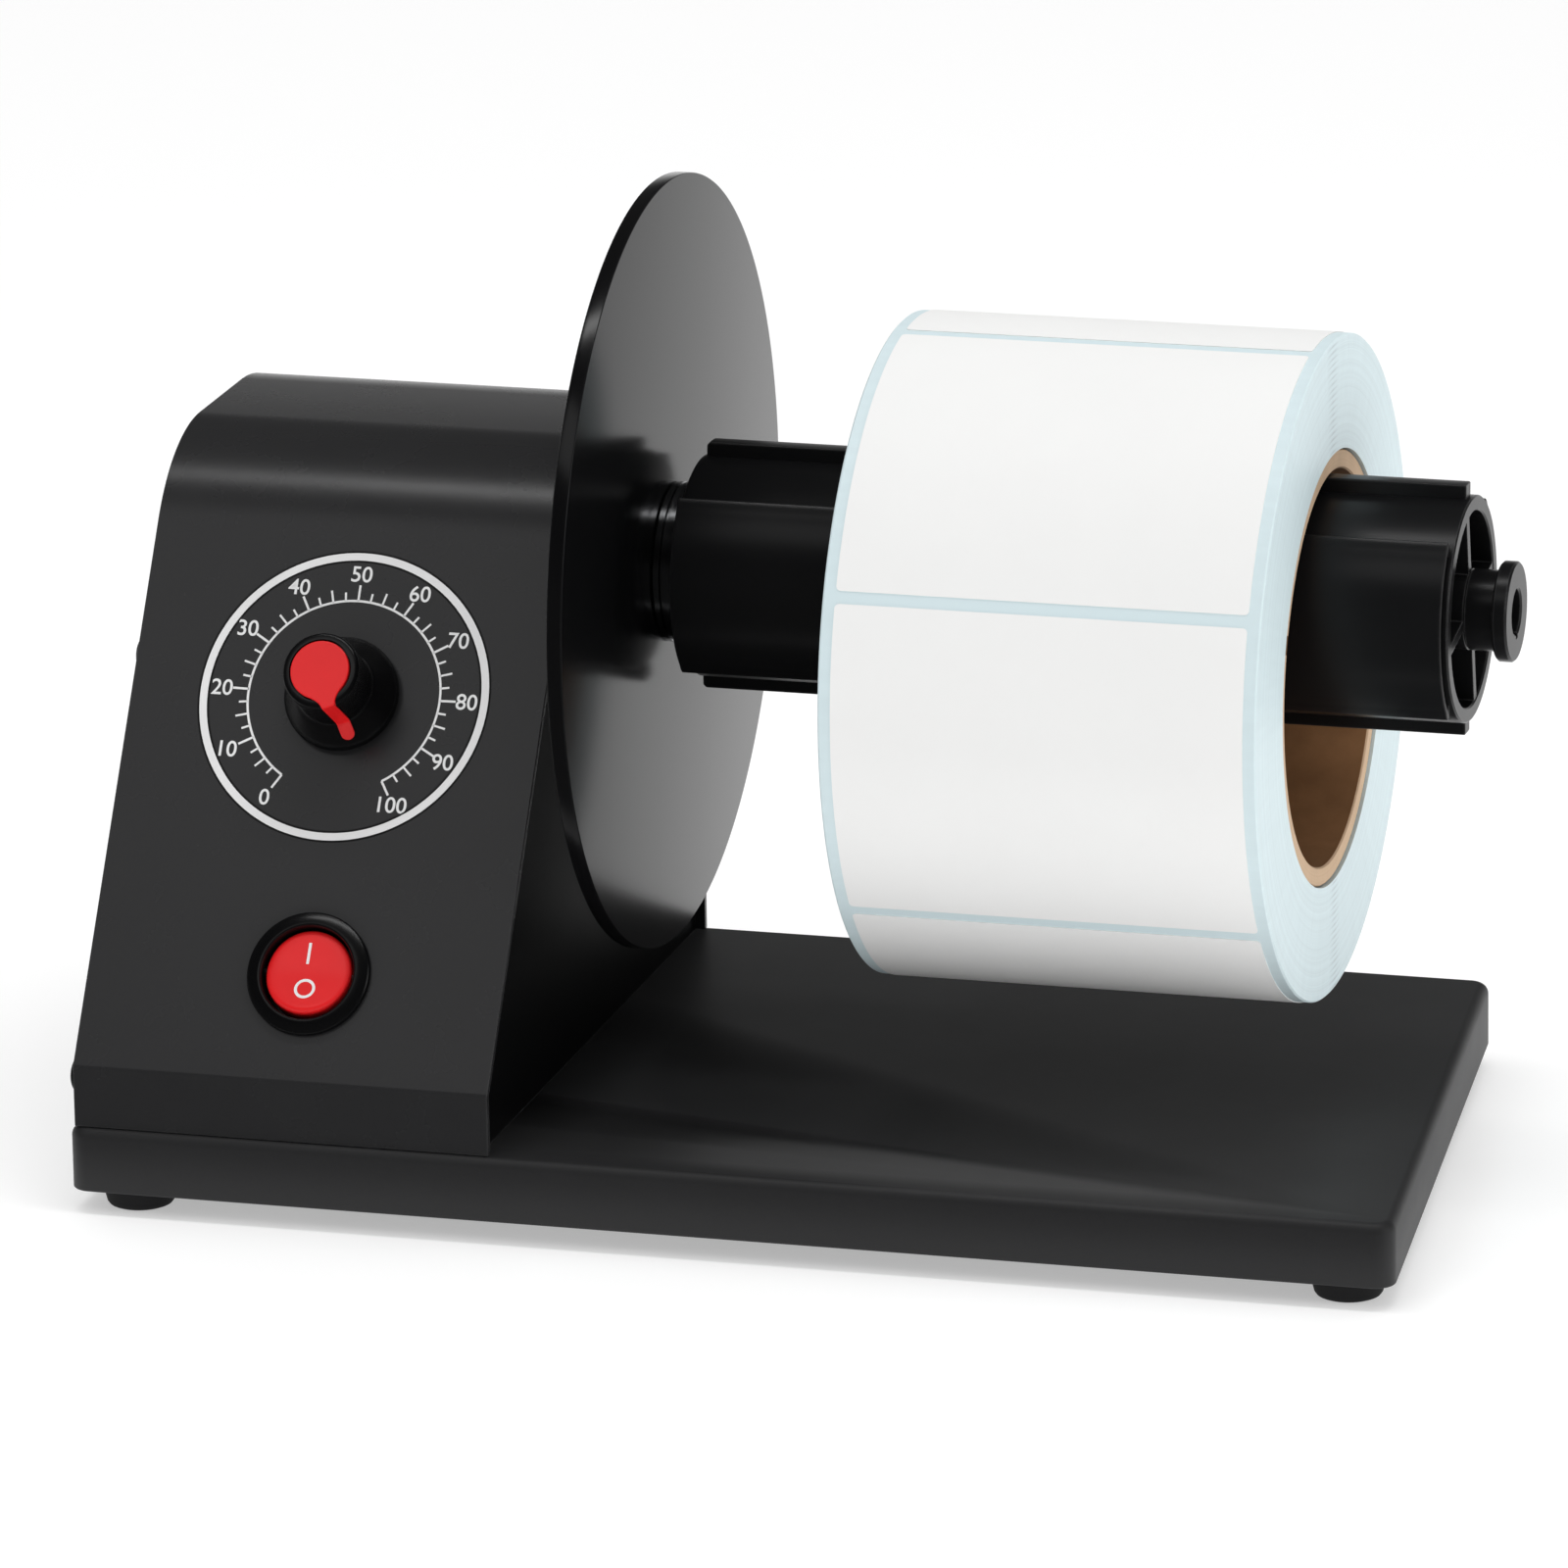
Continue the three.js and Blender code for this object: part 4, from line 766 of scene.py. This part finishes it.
# Side screws: four domed, blackened screws go through the left side plate into the posts
plate_left = 1.7
post_depth = 6.4
low_rise = 0.3
high_rise = 84.7
head_radius = 3.35
head_height = 2.4
head_dome = 1.15
shank_radius = 2
shank_end = 11.2


def under_panel(rise, depth):
    """A place under the slanted panel's outer face, as Y and Z."""
    return (cover_front + rise * math.cos(panel_tilt) + depth * math.sin(panel_tilt),
            crease_z + rise * math.sin(panel_tilt) - depth * math.cos(panel_tilt))


low_post = under_panel(low_rise, post_depth)
slant = (rear_shoulder - post_depth) * math.sqrt(0.5)
screw_places = [low_post, under_panel(high_rise, post_depth), (cover_rear - post_depth, low_post[1]),
                (cover_rear - rear_shoulder + slant, cover_top - rear_shoulder + slant)]
own_along = own @ Matrix(((0, 0, 1, 0), (1, 0, 0, 0), (0, 1, 0, 0), (0, 0, 0, 1)))
head_top = plate_left - head_height
head_foot = plate_left - 0.05
dome = [(head_top + (1 - math.cos(angle)) * head_dome, head_radius * math.sin(angle) ** 0.8)
        for angle in (math.pi / 2 * k / 10 for k in range(11))]
side_screw = turned_piece("side_screw", own_along, dome + [
    (head_foot, head_radius), (head_foot, shank_radius), (shank_end, shank_radius), (shank_end, 0)], 48)
cut_away(side_screw, cross_recess(own_along, 0.3, 0.4, 1.8, head_top - 1, head_top + 1.2))
side_screws = copied_at("side_screws", side_screw, [(0, y, z) for y, z in screw_places], dark_steel)
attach(side_screws, "base")
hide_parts("side_screw_front_low", "side_screw_front_high", "side_screw_rear_low",
            "side_screw_rear_high")

# Power switch: a black bezel and barrel in the panel, with a red rocker on a cross pin
bezel_profile = [
    (-18, 0), (-18, 10), (0.05, 10), (0.05, 12.15), (0.9, 12.15), (1.2, 12.05), (1.4, 11.8), (1.98, 9.85),
    (2, 9.6), (1.92, 9.35), (1.7, 9.2), (1.3, 9.1), (-0.4, 9.1), (-6.6, 9.1), (-6.6, 0)]
terminal_step = 5.5
rocker_radius = 8.45
rocker_pivot = 1.0
rocker_wall = 3
rocker_foot = 4
foot_share = 0.9
crown_base = 1.7
crown_softness = 0.12
rocker_tilt = math.radians(7)
rim_steps = [(0.0, 0.0), (0.25, 0.0), (0.5, 0.0), (0.72, 0.0), (0.86, 0.0), (0.94, -0.12), (0.98, -0.4),
             (1.0, -0.9)]
pin_radius = 1.1
pin_reach = 9.7
mark_rise = 0.03
mark_depth = 0.15
ring_mark = (1.5, 2.07)
ring_mark_y = -3.55
bar_mark = rectangle(-0.7, 1.6, -0.15, 5.8)
rocker_red = linear(228, 30, 33)
mark_white = linear(236, 236, 236)

rocker = moved(switch, 0, 0, -rocker_pivot) @ Matrix.Rotation(-rocker_tilt, 4, "X")
form = bmesh.new()
turned(form, switch, bezel_profile, 96)
for step in (-1, 0, 1):
    prism(form, moved(switch, 0, step * terminal_step), bar(2.4, 0.4), -25, -17.9)
switch_body = made("switch_bezel", form)
paint(moulded, switch_body)
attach(switch_body, "base")
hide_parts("switch_body")

red_plastic = gloss_plastic("signal_red", rocker_red)
white_ink = gloss_plastic("white_ink", mark_white, 0.5)


def crown_height(y):
    """The rocker's crown: two slopes that meet in a soft valley."""
    return crown_base + math.sqrt((y * math.tan(rocker_tilt)) ** 2 + crown_softness)


crown = []
for share, fall in rim_steps:
    crown.append([(x, y, crown_height(y) + fall) for x, y, z in ring_of(rocker_radius * share, 0, 72)])
for share, depth in ((1, rocker_wall), (foot_share, rocker_foot), (0, rocker_foot)):
    crown.append(ring_of(rocker_radius * share, -depth, 72))
form = bmesh.new()
skin(form, rocker, crown, closed=True)
rocker_cap = made("rocker_cap", form, sharp=60)
rocker_pin = turned_piece("rocker_pin", rocker @ Matrix.Rotation(math.pi / 2, 4, "Y"), [
    (-pin_reach, 0), (-pin_reach, pin_radius), (pin_reach, pin_radius), (pin_reach, 0)], 24)
paint(red_plastic, rocker_cap)
paint(moulded, rocker_pin)
for piece in (rocker_cap, rocker_pin):
    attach(piece, "rocker")
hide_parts("switch_rocker")

# I and O follow the rocker's crown, moulded a little proud of it
form = bmesh.new()
skin(form, rocker, [[(x, y, crown_height(y) + mark_rise - depth) for x, y in bar_mark]
                    for depth in (mark_depth, 0)])
inner_ring, outer_ring = ([(x, y + ring_mark_y, crown_height(y + ring_mark_y) + mark_rise)
                           for x, y, z in ring_of(radius, 0, 40)] for radius in ring_mark)
sunk = [[(x, y, z - mark_depth) for x, y, z in loop] for loop in (inner_ring, outer_ring)]
skin(form, rocker, sunk + [outer_ring, inner_ring], closed=True)
rocker_marks = made("rocker_marks", form)
paint(white_ink, rocker_marks)
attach(rocker_marks, "rocker")

# Speed dial: a white ring, ticks and numbers printed on the panel round the potentiometer's shaft
ring_radius = 28.1
ring_line = 1.5
ring_outline = 0.4
scale_radius = 19.2
scale_line = 0.45
scale_from = math.radians(-58.5)
scale_sweep = math.radians(297)
scale_gap = math.radians(31.5)
number_radius = 24.6
number_height = 3.1
capital_share = 0.7
number_weight = 0.04
print_rise = 0.03
print_depth = 0.02
ink_black = linear(14, 14, 15)

# Ticks by kind: name, length, width, count, and the sweep's shares before the first and between two
tick_kinds = [
    ("dial_long_ticks", 3.2, 0.45, 11, 0, 1 / 10),
    ("dial_middle_ticks", 2.5, 0.4, 10, 1 / 20, 1 / 10),
    ("dial_short_ticks", 1.75, 0.4, 20, 1 / 40, 1 / 20),
]


def flat_ring(form, inner_radius, outer_radius, start_angle=0.0, sweep=full_turn, steps=144):
    """A ring printed about the dial's middle, or an arc of one."""
    whole = sweep == full_turn
    low, high = print_rise - print_depth, print_rise
    loops = []
    for k in range(steps if whole else steps + 1):
        angle = start_angle + sweep * k / steps
        loops.append([(radius * math.cos(angle), radius * math.sin(angle), z) for radius, z in (
            (inner_radius, low), (outer_radius, low), (outer_radius, high), (inner_radius, high))])
    skin(form, dial, loops, closed=whole)


ring_low = ring_radius - ring_line / 2
ring_high = ring_radius + ring_line / 2
form = bmesh.new()
flat_ring(form, ring_low, ring_high)
flat_ring(form, scale_radius - scale_line / 2, scale_radius + scale_line / 2, scale_from, scale_sweep)
dial_rings = made("dial_rings", form)
paint(white_ink, dial_rings)
form = bmesh.new()
flat_ring(form, ring_low - ring_outline, ring_low)
flat_ring(form, ring_high, ring_high + ring_outline)
ring_edges = made("dial_ring_edges", form)
paint(gloss_plastic("black_ink", ink_black, 0.5), ring_edges)

printed = [dial_rings, ring_edges]
for name, length, width, count, before, between in tick_kinds:
    outline = rectangle(-width / 2, -scale_radius - length, width / 2, -scale_radius)
    tick = prism_piece("tick", dial, outline, print_rise - print_depth, print_rise)
    printed.append(copied_about(name, tick, white_ink, dial, count, -scale_gap - scale_sweep * before,
                                -scale_sweep * between))

numbers = bmesh.new()
for step in range(11):
    words = bpy.data.curves.new("number", "FONT")
    words.body = str(step * 10)
    words.size = number_height / capital_share
    words.align_x = "CENTER"
    words.align_y = "CENTER"
    words.extrude = print_depth / 2
    words.offset = number_weight
    text = bpy.data.objects.new("number", words)
    bpy.context.collection.objects.link(text)
    bpy.context.view_layer.update()
    letters = bpy.data.meshes.new_from_object(text.evaluated_get(bpy.context.evaluated_depsgraph_get()))
    bpy.data.objects.remove(text)
    angle = -math.pi / 2 - scale_gap - scale_sweep * step / 10
    across_word = [vertex.co.x for vertex in letters.vertices]
    up_word = [vertex.co.y for vertex in letters.vertices]
    letters.transform(moved(
        dial, number_radius * math.cos(angle) - (min(across_word) + max(across_word)) / 2,
        number_radius * math.sin(angle) - (min(up_word) + max(up_word)) / 2, print_rise - print_depth / 2))
    numbers.from_mesh(letters)
dial_numbers = made("dial_numbers", numbers)
paint(white_ink, dial_numbers)
for piece in printed + [dial_numbers]:
    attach(piece, "base")
dress(steel, "potentiometer", "potentiometer_shaft")
dress(brass, "potentiometer_nut")

# Knob: a black knob with a sloped skirt, and a red cap whose pointer runs down its side
knob_turn = math.radians(21.5)
knob_profile = [
    (0.6, 6), (0.6, 10.9), (0.9, 11.25), (1.4, 11.3), (2.3, 11.25), (2.7, 11.05), (3.4, 10.4), (4.8, 8.9),
    (5.4, 8.25), (5.8, 7.7), (6.2, 7.4), (7, 7.3), (16, 7.6), (16.6, 7.5), (16.9, 7.2), (17, 6.9),
    (17, 6.15), (15.9, 6.15), (15.9, 0), (13.1, 0), (13.1, 2.8), (5.2, 2.8), (5.2, 6)]
cap_radius = 5.8
cap_top = 17.3
cap_bottom = 16
cap_reach = 7.85
neck_turn = math.radians(38)
stripe_width = 2.7
stripe_height = 0.35
stripe_path = [(7.45, 16.9), (7.5, 16), (7.2, 7.4), (7.3, 6.5), (7.7, 5.9), (8.3, 5.4), (10.2, 3.7)]

knob = turned_by(dial, knob_turn)
knob_body = turned_piece("knob_body", knob, knob_profile, 96, sharp=40)
paint(moulded, knob_body)
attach(knob_body, "knob")
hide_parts("speed_knob")

# The cap is a round that narrows smoothly into the pointer's neck
neck_width = cap_radius * math.sin(neck_turn)
neck_start = cap_radius * math.cos(neck_turn)
neck_slope = (cap_reach - neck_start) / math.tan(neck_turn)
round_turns = [neck_turn + (full_turn - 2 * neck_turn) * k / 60 for k in range(61)]
outline = [(cap_radius * math.sin(angle), -cap_radius * math.cos(angle)) for angle in round_turns]
neck = []
for k in range(1, 9):
    share = k / 8
    width = ((2 * share ** 3 - 3 * share ** 2 + 1) * neck_width
             - (share ** 3 - 2 * share ** 2 + share) * neck_slope
             + (3 * share ** 2 - 2 * share ** 3) * stripe_width / 2)
    neck.append((width, -neck_start - (cap_reach - neck_start) * share))
outline += [(-width, reach) for width, reach in neck] + list(reversed(neck))
knob_disc = prism_piece("knob_cap", knob, outline, cap_bottom, cap_top)
soften(knob_disc, 0.25, segments=3)

# The stripe follows the knob's side and skirt, and its end is a half round
path = [Vector(point) for point in stripe_path]
stations = []
for k, (low, high) in enumerate(zip(path, path[1:])):
    parts = 8 if k == len(path) - 2 else 2
    for step in range(parts):
        stations.append((low.lerp(high, step / parts), (high - low).normalized()))
stations.append((path[-1], (path[-1] - path[-2]).normalized()))
loops = []
for place, way in stations:
    left = (path[-1] - place).length
    half = stripe_width / 2
    if left < half:
        half = math.sqrt(max(0.02, half ** 2 - (half - left) ** 2))
    high = place + Vector((-way.y, way.x)) * stripe_height
    loops.append([(-half, -place.x, place.y), (half, -place.x, place.y), (half, -high.x, high.y),
                  (-half, -high.x, high.y)])
form = bmesh.new()
skin(form, knob, loops)
knob_stripe = made("knob_stripe", form)
soften(knob_stripe, 0.15)
paint(red_plastic, knob_disc, knob_stripe)
for piece in (knob_disc, knob_stripe):
    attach(piece, "knob")
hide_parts("knob_cap")

# Power inlet: a black socket with a steel pin, held in the back of the housing by a zinc nut
inlet_profile = [(-12, 0), (-12, 4.5), (0.05, 4.5), (0.05, 6.5), (1, 6.5), (1.4, 6.1), (1.4, 3.1),
                 (1.1, 2.8), (-8.1, 2.8), (-8.1, 0)]
pin_profile = [(-8.1, 0), (-8.1, 1), (0, 1), (0.35, 0.6), (0.35, 0)]

inlet_socket = turned_piece("inlet_socket", inlet, inlet_profile, 64)
inlet_pin = turned_piece("inlet_pin", inlet, pin_profile, 32)
paint(moulded, inlet_socket)
paint(steel, inlet_pin)
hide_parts("power_inlet")
for piece, slot in ((inlet_socket, "moulded_black"), (inlet_pin, "bright_steel")):
    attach(piece, "base")
dress(zinc, "power_inlet_nut")

# Spindle: a steel shaft with a clip, the flat disc that the labels run against, and its collar
spindle_y = 80
spindle_z = 113.8
shaft_fit = 6.08
disc_x = 96.6
disc_face = 99.6
disc_radius = 75
disc_round = 0.25
sleeve_x = 85.6
sleeve_radius = 10
collar_profile = [
    (0, shaft_fit), (0, 15.2), (0.3, 15.5), (1.4, 15.5), (1.6, 15.0), (1.9, 15.0), (2.1, 15.5), (4.1, 15.5),
    (4.4, 15.2), (4.4, 11), (5.5, 11), (5.5, shaft_fit)]
collar_x = 99.65
disc_grey = linear(12, 12, 13)
disc_edge_highlight_grey = linear(90, 90, 92)
collar_grey = linear(132, 133, 135)

spindle = frame_from((0, spindle_y, spindle_z), (0, -1, 0), (0, 0, 1), (1, 0, 0))
dress(steel, "spindle_shaft")
dress(dark_steel, "retaining_clip")

bends = [(disc_round * (1 - math.sin(angle)), disc_round * (1 - math.cos(angle)))
         for angle in (math.pi / 2 * k / 4 for k in range(5))]
disc_profile = [(sleeve_x, shaft_fit), (sleeve_x, sleeve_radius - 0.4), (sleeve_x + 0.4, sleeve_radius),
                (disc_x, sleeve_radius)]
disc_profile += [(disc_x + rise, disc_radius - fall) for fall, rise in bends]
disc_profile += [(disc_face - fall, disc_radius - rise) for fall, rise in bends]
disc = turned_piece("flange_disc_plate", spindle, disc_profile + [(disc_face, shaft_fit)], 240)
disc_paint, tree, shader = bare_finish("disc_paint", 0.18, 0.0, 0.19)
surface = placed(tree, grain, scale=1300.0, mottle_scale=25.0)
# The disc's edges are painted lighter grey: a painted highlight on the rims, with wear
worn_and_lit_edges = placed(tree, edge_light_and_wear, reach=0.0006, amount=0.9)["Mask"]
disc_coat = mixed(tree, worn_and_lit_edges, shaded(tree, surface["Mottle"], disc_grey, 0.9, 1.1), disc_edge_highlight_grey)
tree.links.new(disc_coat, shader.inputs["Base Color"])
give_bump(tree, shader, surface["Height"], 0.25, 0.004)
paint(disc_paint, disc)
collar = turned_piece("hub_collar_ring", moved(spindle, 0, 0, collar_x), collar_profile, 128)
paint(metal("collar_steel", collar_grey, 0.2), collar)
for piece, node, slot in ((disc, "flange_disc", "disc_paint"), (collar, "hub_collar", "dark_steel")):
    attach(piece, "spindle")
    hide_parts(node)

# Mandrel: a black moulding with a ring on a hub tube, hollow shells and solid ribs to hold a core
mandrel_x = 105.2
mandrel_end = 257.2
ring_outer = 21.7
ring_inner = 18.8
hub_outer = 7.75
end_round = 0.3
spoke_width = 2
spoke_angles = [80, 170, 260, 350]
shell_radius = 24
shell_wall = 1.2
shell_foot = 2.4
shell_steps = 32
lip_rise = 0.22
lip_slope = 0.13
rib_radius = 24.5
rib_width = 4
lobe_x = 105.6
lobe_end = 256.2
lobe_chamfer = 0.6
lobe_step = 0.25
lobe_base = ring_outer - 0.2
shell_spans = [(-47, 47), (133, 227)]
rib_places = [(92, 107), (-90, lobe_x)]
mandrel_grey = linear(18, 18, 19)

rounding_x = mandrel_end - end_round
form = bmesh.new()
turned(form, spindle, [
    (mandrel_x, shaft_fit), (mandrel_x, ring_outer - 1.6), (mandrel_x + 0.5, ring_outer - 0.6),
    (mandrel_x + 1.6, ring_outer), (rounding_x, ring_outer), (mandrel_end, ring_outer - end_round),
    (mandrel_end, ring_inner + end_round), (rounding_x, ring_inner), (mandrel_x + 2, ring_inner),
    (mandrel_x + 2, hub_outer), (rounding_x, hub_outer), (mandrel_end, hub_outer - end_round),
    (mandrel_end, shaft_fit)], 144)
for degrees in spoke_angles:
    outline = rectangle(shaft_fit + 0.8, -spoke_width / 2, ring_inner + 0.4, spoke_width / 2)
    prism(form, turned_by(spindle, math.radians(degrees)), outline, mandrel_x + 1, mandrel_end - 0.2)
barrel = made("mandrel_barrel", form, sharp=30)
# A strong edge mask paints thin pale lines along the ring, shell and rib edges: painted highlight, with wear
mandrel_black = coated("mandrel_black", mandrel_grey, 0.3, 1800.0, 0.002, specular=0.19, wear_and_highlight=2.4, dusty=0.0)


def lobe(form, section, start):
    """A long bar of one section, its left end turned down to a cone."""
    loops = []
    for x in (start, start + lobe_chamfer / 2, start + lobe_chamfer, lobe_end):
        cone = rib_radius - lobe_chamfer + (x - start)
        loop = []
        for radius, angle in section:
            reach = min(radius, cone - (0.0 if radius > shell_radius - 0.01 else lobe_step))
            loop.append((reach * math.cos(angle), reach * math.sin(angle), x))
        loops.append(loop)
    skin(form, spindle, loops)


form = bmesh.new()
for low, high in shell_spans:
    first, last = math.radians(low), math.radians(high)
    foot = shell_foot / shell_radius
    inside = shell_radius - shell_wall
    crown_radii = [shell_radius - lip_slope, shell_radius] + [shell_radius - lip_rise] * (shell_steps - 3)
    crown_radii += [shell_radius, shell_radius - lip_slope]
    section = [(radius, first + (last - first) * k / shell_steps) for k, radius in enumerate(crown_radii)]
    section += [(lobe_base, last), (lobe_base, last - foot), (inside, last - foot)]
    section += [(inside, last - foot - (last - first - 2 * foot) * k / shell_steps)
                for k in range(1, shell_steps + 1)]
    section += [(lobe_base, first + foot), (lobe_base, first)]
    lobe(form, section, lobe_x)
for degrees, start in rib_places:
    sides = [(rib_radius, side) for side in (-1, -0.5, 0, 0.5, 1)] + [(lobe_base, 1), (lobe_base, -1)]
    section = [(radius, math.radians(degrees) + side * rib_width / 2 / radius) for radius, side in sides]
    lobe(form, section, start)
lobes = made("mandrel_lobes", form, sharp=30)
soften(lobes, 0.35, segments=3)
paint(mandrel_black, barrel, lobes)
for piece in (barrel, lobes):
    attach(piece, "spindle")
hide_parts("mandrel")

# End bush: a turned bush pressed into the hub tube, its bored flange notched for a tool
bush_profile = [
    (242.2, 4.3), (242.2, 6), (257.25, 6), (257.25, 7.75), (262.75, 7.75), (262.75, 9.2), (263.15, 9.6),
    (265.35, 9.6), (265.75, 9.2), (265.75, 4.7), (265.4, 4.3)]
notch = rectangle(-0.8, -5.3, 0.8, 0)

bush = turned_piece("end_bush_ring", spindle, bush_profile, 96)
cut_away(bush, [prism_piece("notch", spindle, notch, 259.75, 267)])
soften(bush, 0.12)
paint(mandrel_black, bush)
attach(bush, "spindle")
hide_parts("end_bush")

# Core: a tube of brown board, wound in a spiral from glued strips and cut square
roll_x = 145.9
roll_end = 230.2
roll_z = 100.5
core_outer = 41.7
core_inner = 38.1
core_x = roll_x + 0.6
core_end = roll_end - 0.6
turns_a_metre = 16.0
seam_from = 0.985
board_brown = linear(216, 188, 158)
bore_brown = linear(160, 116, 78)

roll = frame_from((0, spindle_y, roll_z), (0, -1, 0), (0, 0, 1), (1, 0, 0))


def about_roll(tree):
    """Sockets for the distance from the roll's axis, the turn about it and the place along it."""
    middle = at(0, spindle_y, roll_z)
    centred = add_node(tree, "ShaderNodeMapping", {
        "Vector": own_place(tree), "Location": (0, -middle.y, -middle.z)})
    parts = parts_of(tree, centred.outputs[0])
    square = math_node(tree, "ADD", *(math_node(tree, "POWER", parts[axis], 2.0) for axis in "YZ"))
    return (math_node(tree, "SQRT", square), math_node(tree, "ARCTAN2", parts["Z"], parts["Y"]), parts["X"])


def line_noise(tree, value, scale, detail=2.0):
    return add_node(tree, "ShaderNodeTexNoise", {"W": value, "Scale": scale, "Detail": detail},
                    noise_dimensions="1D").outputs["Fac"]


board, tree, shader = bare_finish("core_board", 0.85, 0.0, 0.2)
radius, turn, length = about_roll(tree)
fibres = placed(tree, grain, scale=1600.0, mottle_scale=160.0)
winding = math_node(tree, "ADD", times(tree, length, turns_a_metre),
                    math_node(tree, "DIVIDE", turn, full_turn))
seam = math_node(tree, "GREATER_THAN", math_node(tree, "FRACT", winding), seam_from)
# The bore is darker and browner than the cut ends: the board's kraft colour and painted shade inside the
# tube
on_end = math_node(tree, "ABSOLUTE", parts_of(tree, surface_of(tree)["Normal"])["X"])
brown = mixed(tree, on_end, shaded(tree, fibres["Mottle"], bore_brown, 0.7, 1.3),
              shaded(tree, fibres["Mottle"], board_brown, 0.85, 1.12))
plies = mixed(tree, times(tree, line_noise(tree, radius, 2600.0), 0.3), brown, toned(bore_brown, 0.8))
tree.links.new(mixed(tree, seam, plies, toned(bore_brown, 0.5)), shader.inputs["Base Color"])
give_bump(tree, shader, fibres["Height"], 0.4, 0.02)

core = turned_piece("board_core", roll, [
    (core_x, core_inner + 0.3), (core_x, core_outer - 0.2), (core_x + 0.2, core_outer),
    (core_end - 0.2, core_outer), (core_end, core_outer - 0.2), (core_end, core_inner + 0.3),
    (core_end - 0.3, core_inner), (core_x + 0.3, core_inner)], 192)
paint(board, core)
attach(core, "core")
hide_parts("roll_core")

# Label roll: a pale blue liner wound on the core, with white labels stuck on it in a row
roll_radius = 64
liner_radius = 63.84
winding_bore = 42
label_count = 6
label_margin = 2.5
label_gap = 2.45
label_corner = 0.9
label_steps = 40
label_first = math.radians(-36.8)
label_step = math.radians(360 / label_count)
liner_blue = linear(214, 231, 236)
label_white = linear(246, 246, 245)
tuck_narrowness = 11.0
tuck_ripples = 5200.0

liner, tree, shader = bare_finish("liner_windings", 0.5, 0.0, 0.35)
radius, turn, length = about_roll(tree)
fine_turns = line_noise(tree, radius, 4200.0)
hatch_place = add_node(tree, "ShaderNodeCombineXYZ", {
    "X": times(tree, turn, 26.0), "Y": times(tree, radius, 90.0)})
hatch = noise_node(tree, hatch_place.outputs[0], 1.0)
pale = shaded(tree, line_noise(tree, radius, 900.0, 3.0), liner_blue, 0.86, 1.08)
banded = mixed(tree, times(tree, fine_turns, 0.45), pale, toned(liner_blue, 1.3))
streaked = mixed(tree, times(tree, hatch, 0.35), banded, toned(liner_blue, 0.8))

# Straight above and below the bore a short run of ticks shows where the liner was tucked tight
level_turn = math_node(tree, "SUBTRACT", math_node(tree, "ABSOLUTE", turn), math.pi / 2)
lean = times(tree, math_node(tree, "ABSOLUTE", level_turn), tuck_narrowness)
near = math_node(tree, "MAXIMUM", math_node(tree, "SUBTRACT", 1.0, lean), 0.0)
ripple = math_node(tree, "MAXIMUM", math_node(tree, "SINE", times(tree, radius, tuck_ripples)), 0.0)
ticks = times(tree, times(tree, near, ripple), 0.5)
tree.links.new(mixed(tree, ticks, streaked, toned(liner_blue, 0.5)), shader.inputs["Base Color"])
give_bump(tree, shader, fine_turns, 0.35, 0.03)

windings = turned_piece("liner_windings", roll, [
    (roll_x, winding_bore), (roll_x, liner_radius - 0.3), (roll_x + 0.3, liner_radius),
    (roll_end - 0.3, liner_radius), (roll_end, liner_radius - 0.3), (roll_end, winding_bore)], 240)
paint(liner, windings)
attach(windings, "labels")
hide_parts("label_roll")

label_paper, tree, shader = bare_finish("label_paper", 0.55, 0.0, 0.3)
fibres = placed(tree, grain, scale=2600.0, mottle_scale=35.0)
tree.links.new(shaded(tree, fibres["Mottle"], label_white, 0.96, 1.0), shader.inputs["Base Color"])
give_bump(tree, shader, fibres["Height"], 0.25, 0.006)

# A label is a thin curved patch with round corners, bent to the winding it lies on
half_arc = (label_step - label_gap / liner_radius) / 2 * roll_radius
half_width = (roll_end - roll_x) / 2 - label_margin
middle_x = (roll_x + roll_end) / 2
straight = half_arc - label_corner
corner_rows = []
for angle in (math.pi / 2 * k / 6 for k in range(7)):
    corner_rows.append(((straight + label_corner * math.sin(angle)) / roll_radius,
                        half_width - label_corner + label_corner * math.cos(angle)))
reaches = [-half_arc + 2 * half_arc * k / label_steps for k in range(label_steps + 1)]
straight_rows = [(reach / roll_radius, half_width) for reach in reaches if abs(reach) < straight]
first_rows = [(-turn, width) for turn, width in reversed(corner_rows)]
label_low = liner_radius - 0.02
label_section = ((label_low, -1), (roll_radius, -1), (roll_radius, 1), (label_low, 1))
form = bmesh.new()
skin(form, roll, [[(reach * math.cos(turn), reach * math.sin(turn), middle_x + side * width)
                   for reach, side in label_section]
                  for turn, width in first_rows + straight_rows + corner_rows])
labels = copied_about("label_patches", made("label", form), label_paper, roll, label_count,
                      -(label_first + label_step / 2), -label_step)
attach(labels, "labels")
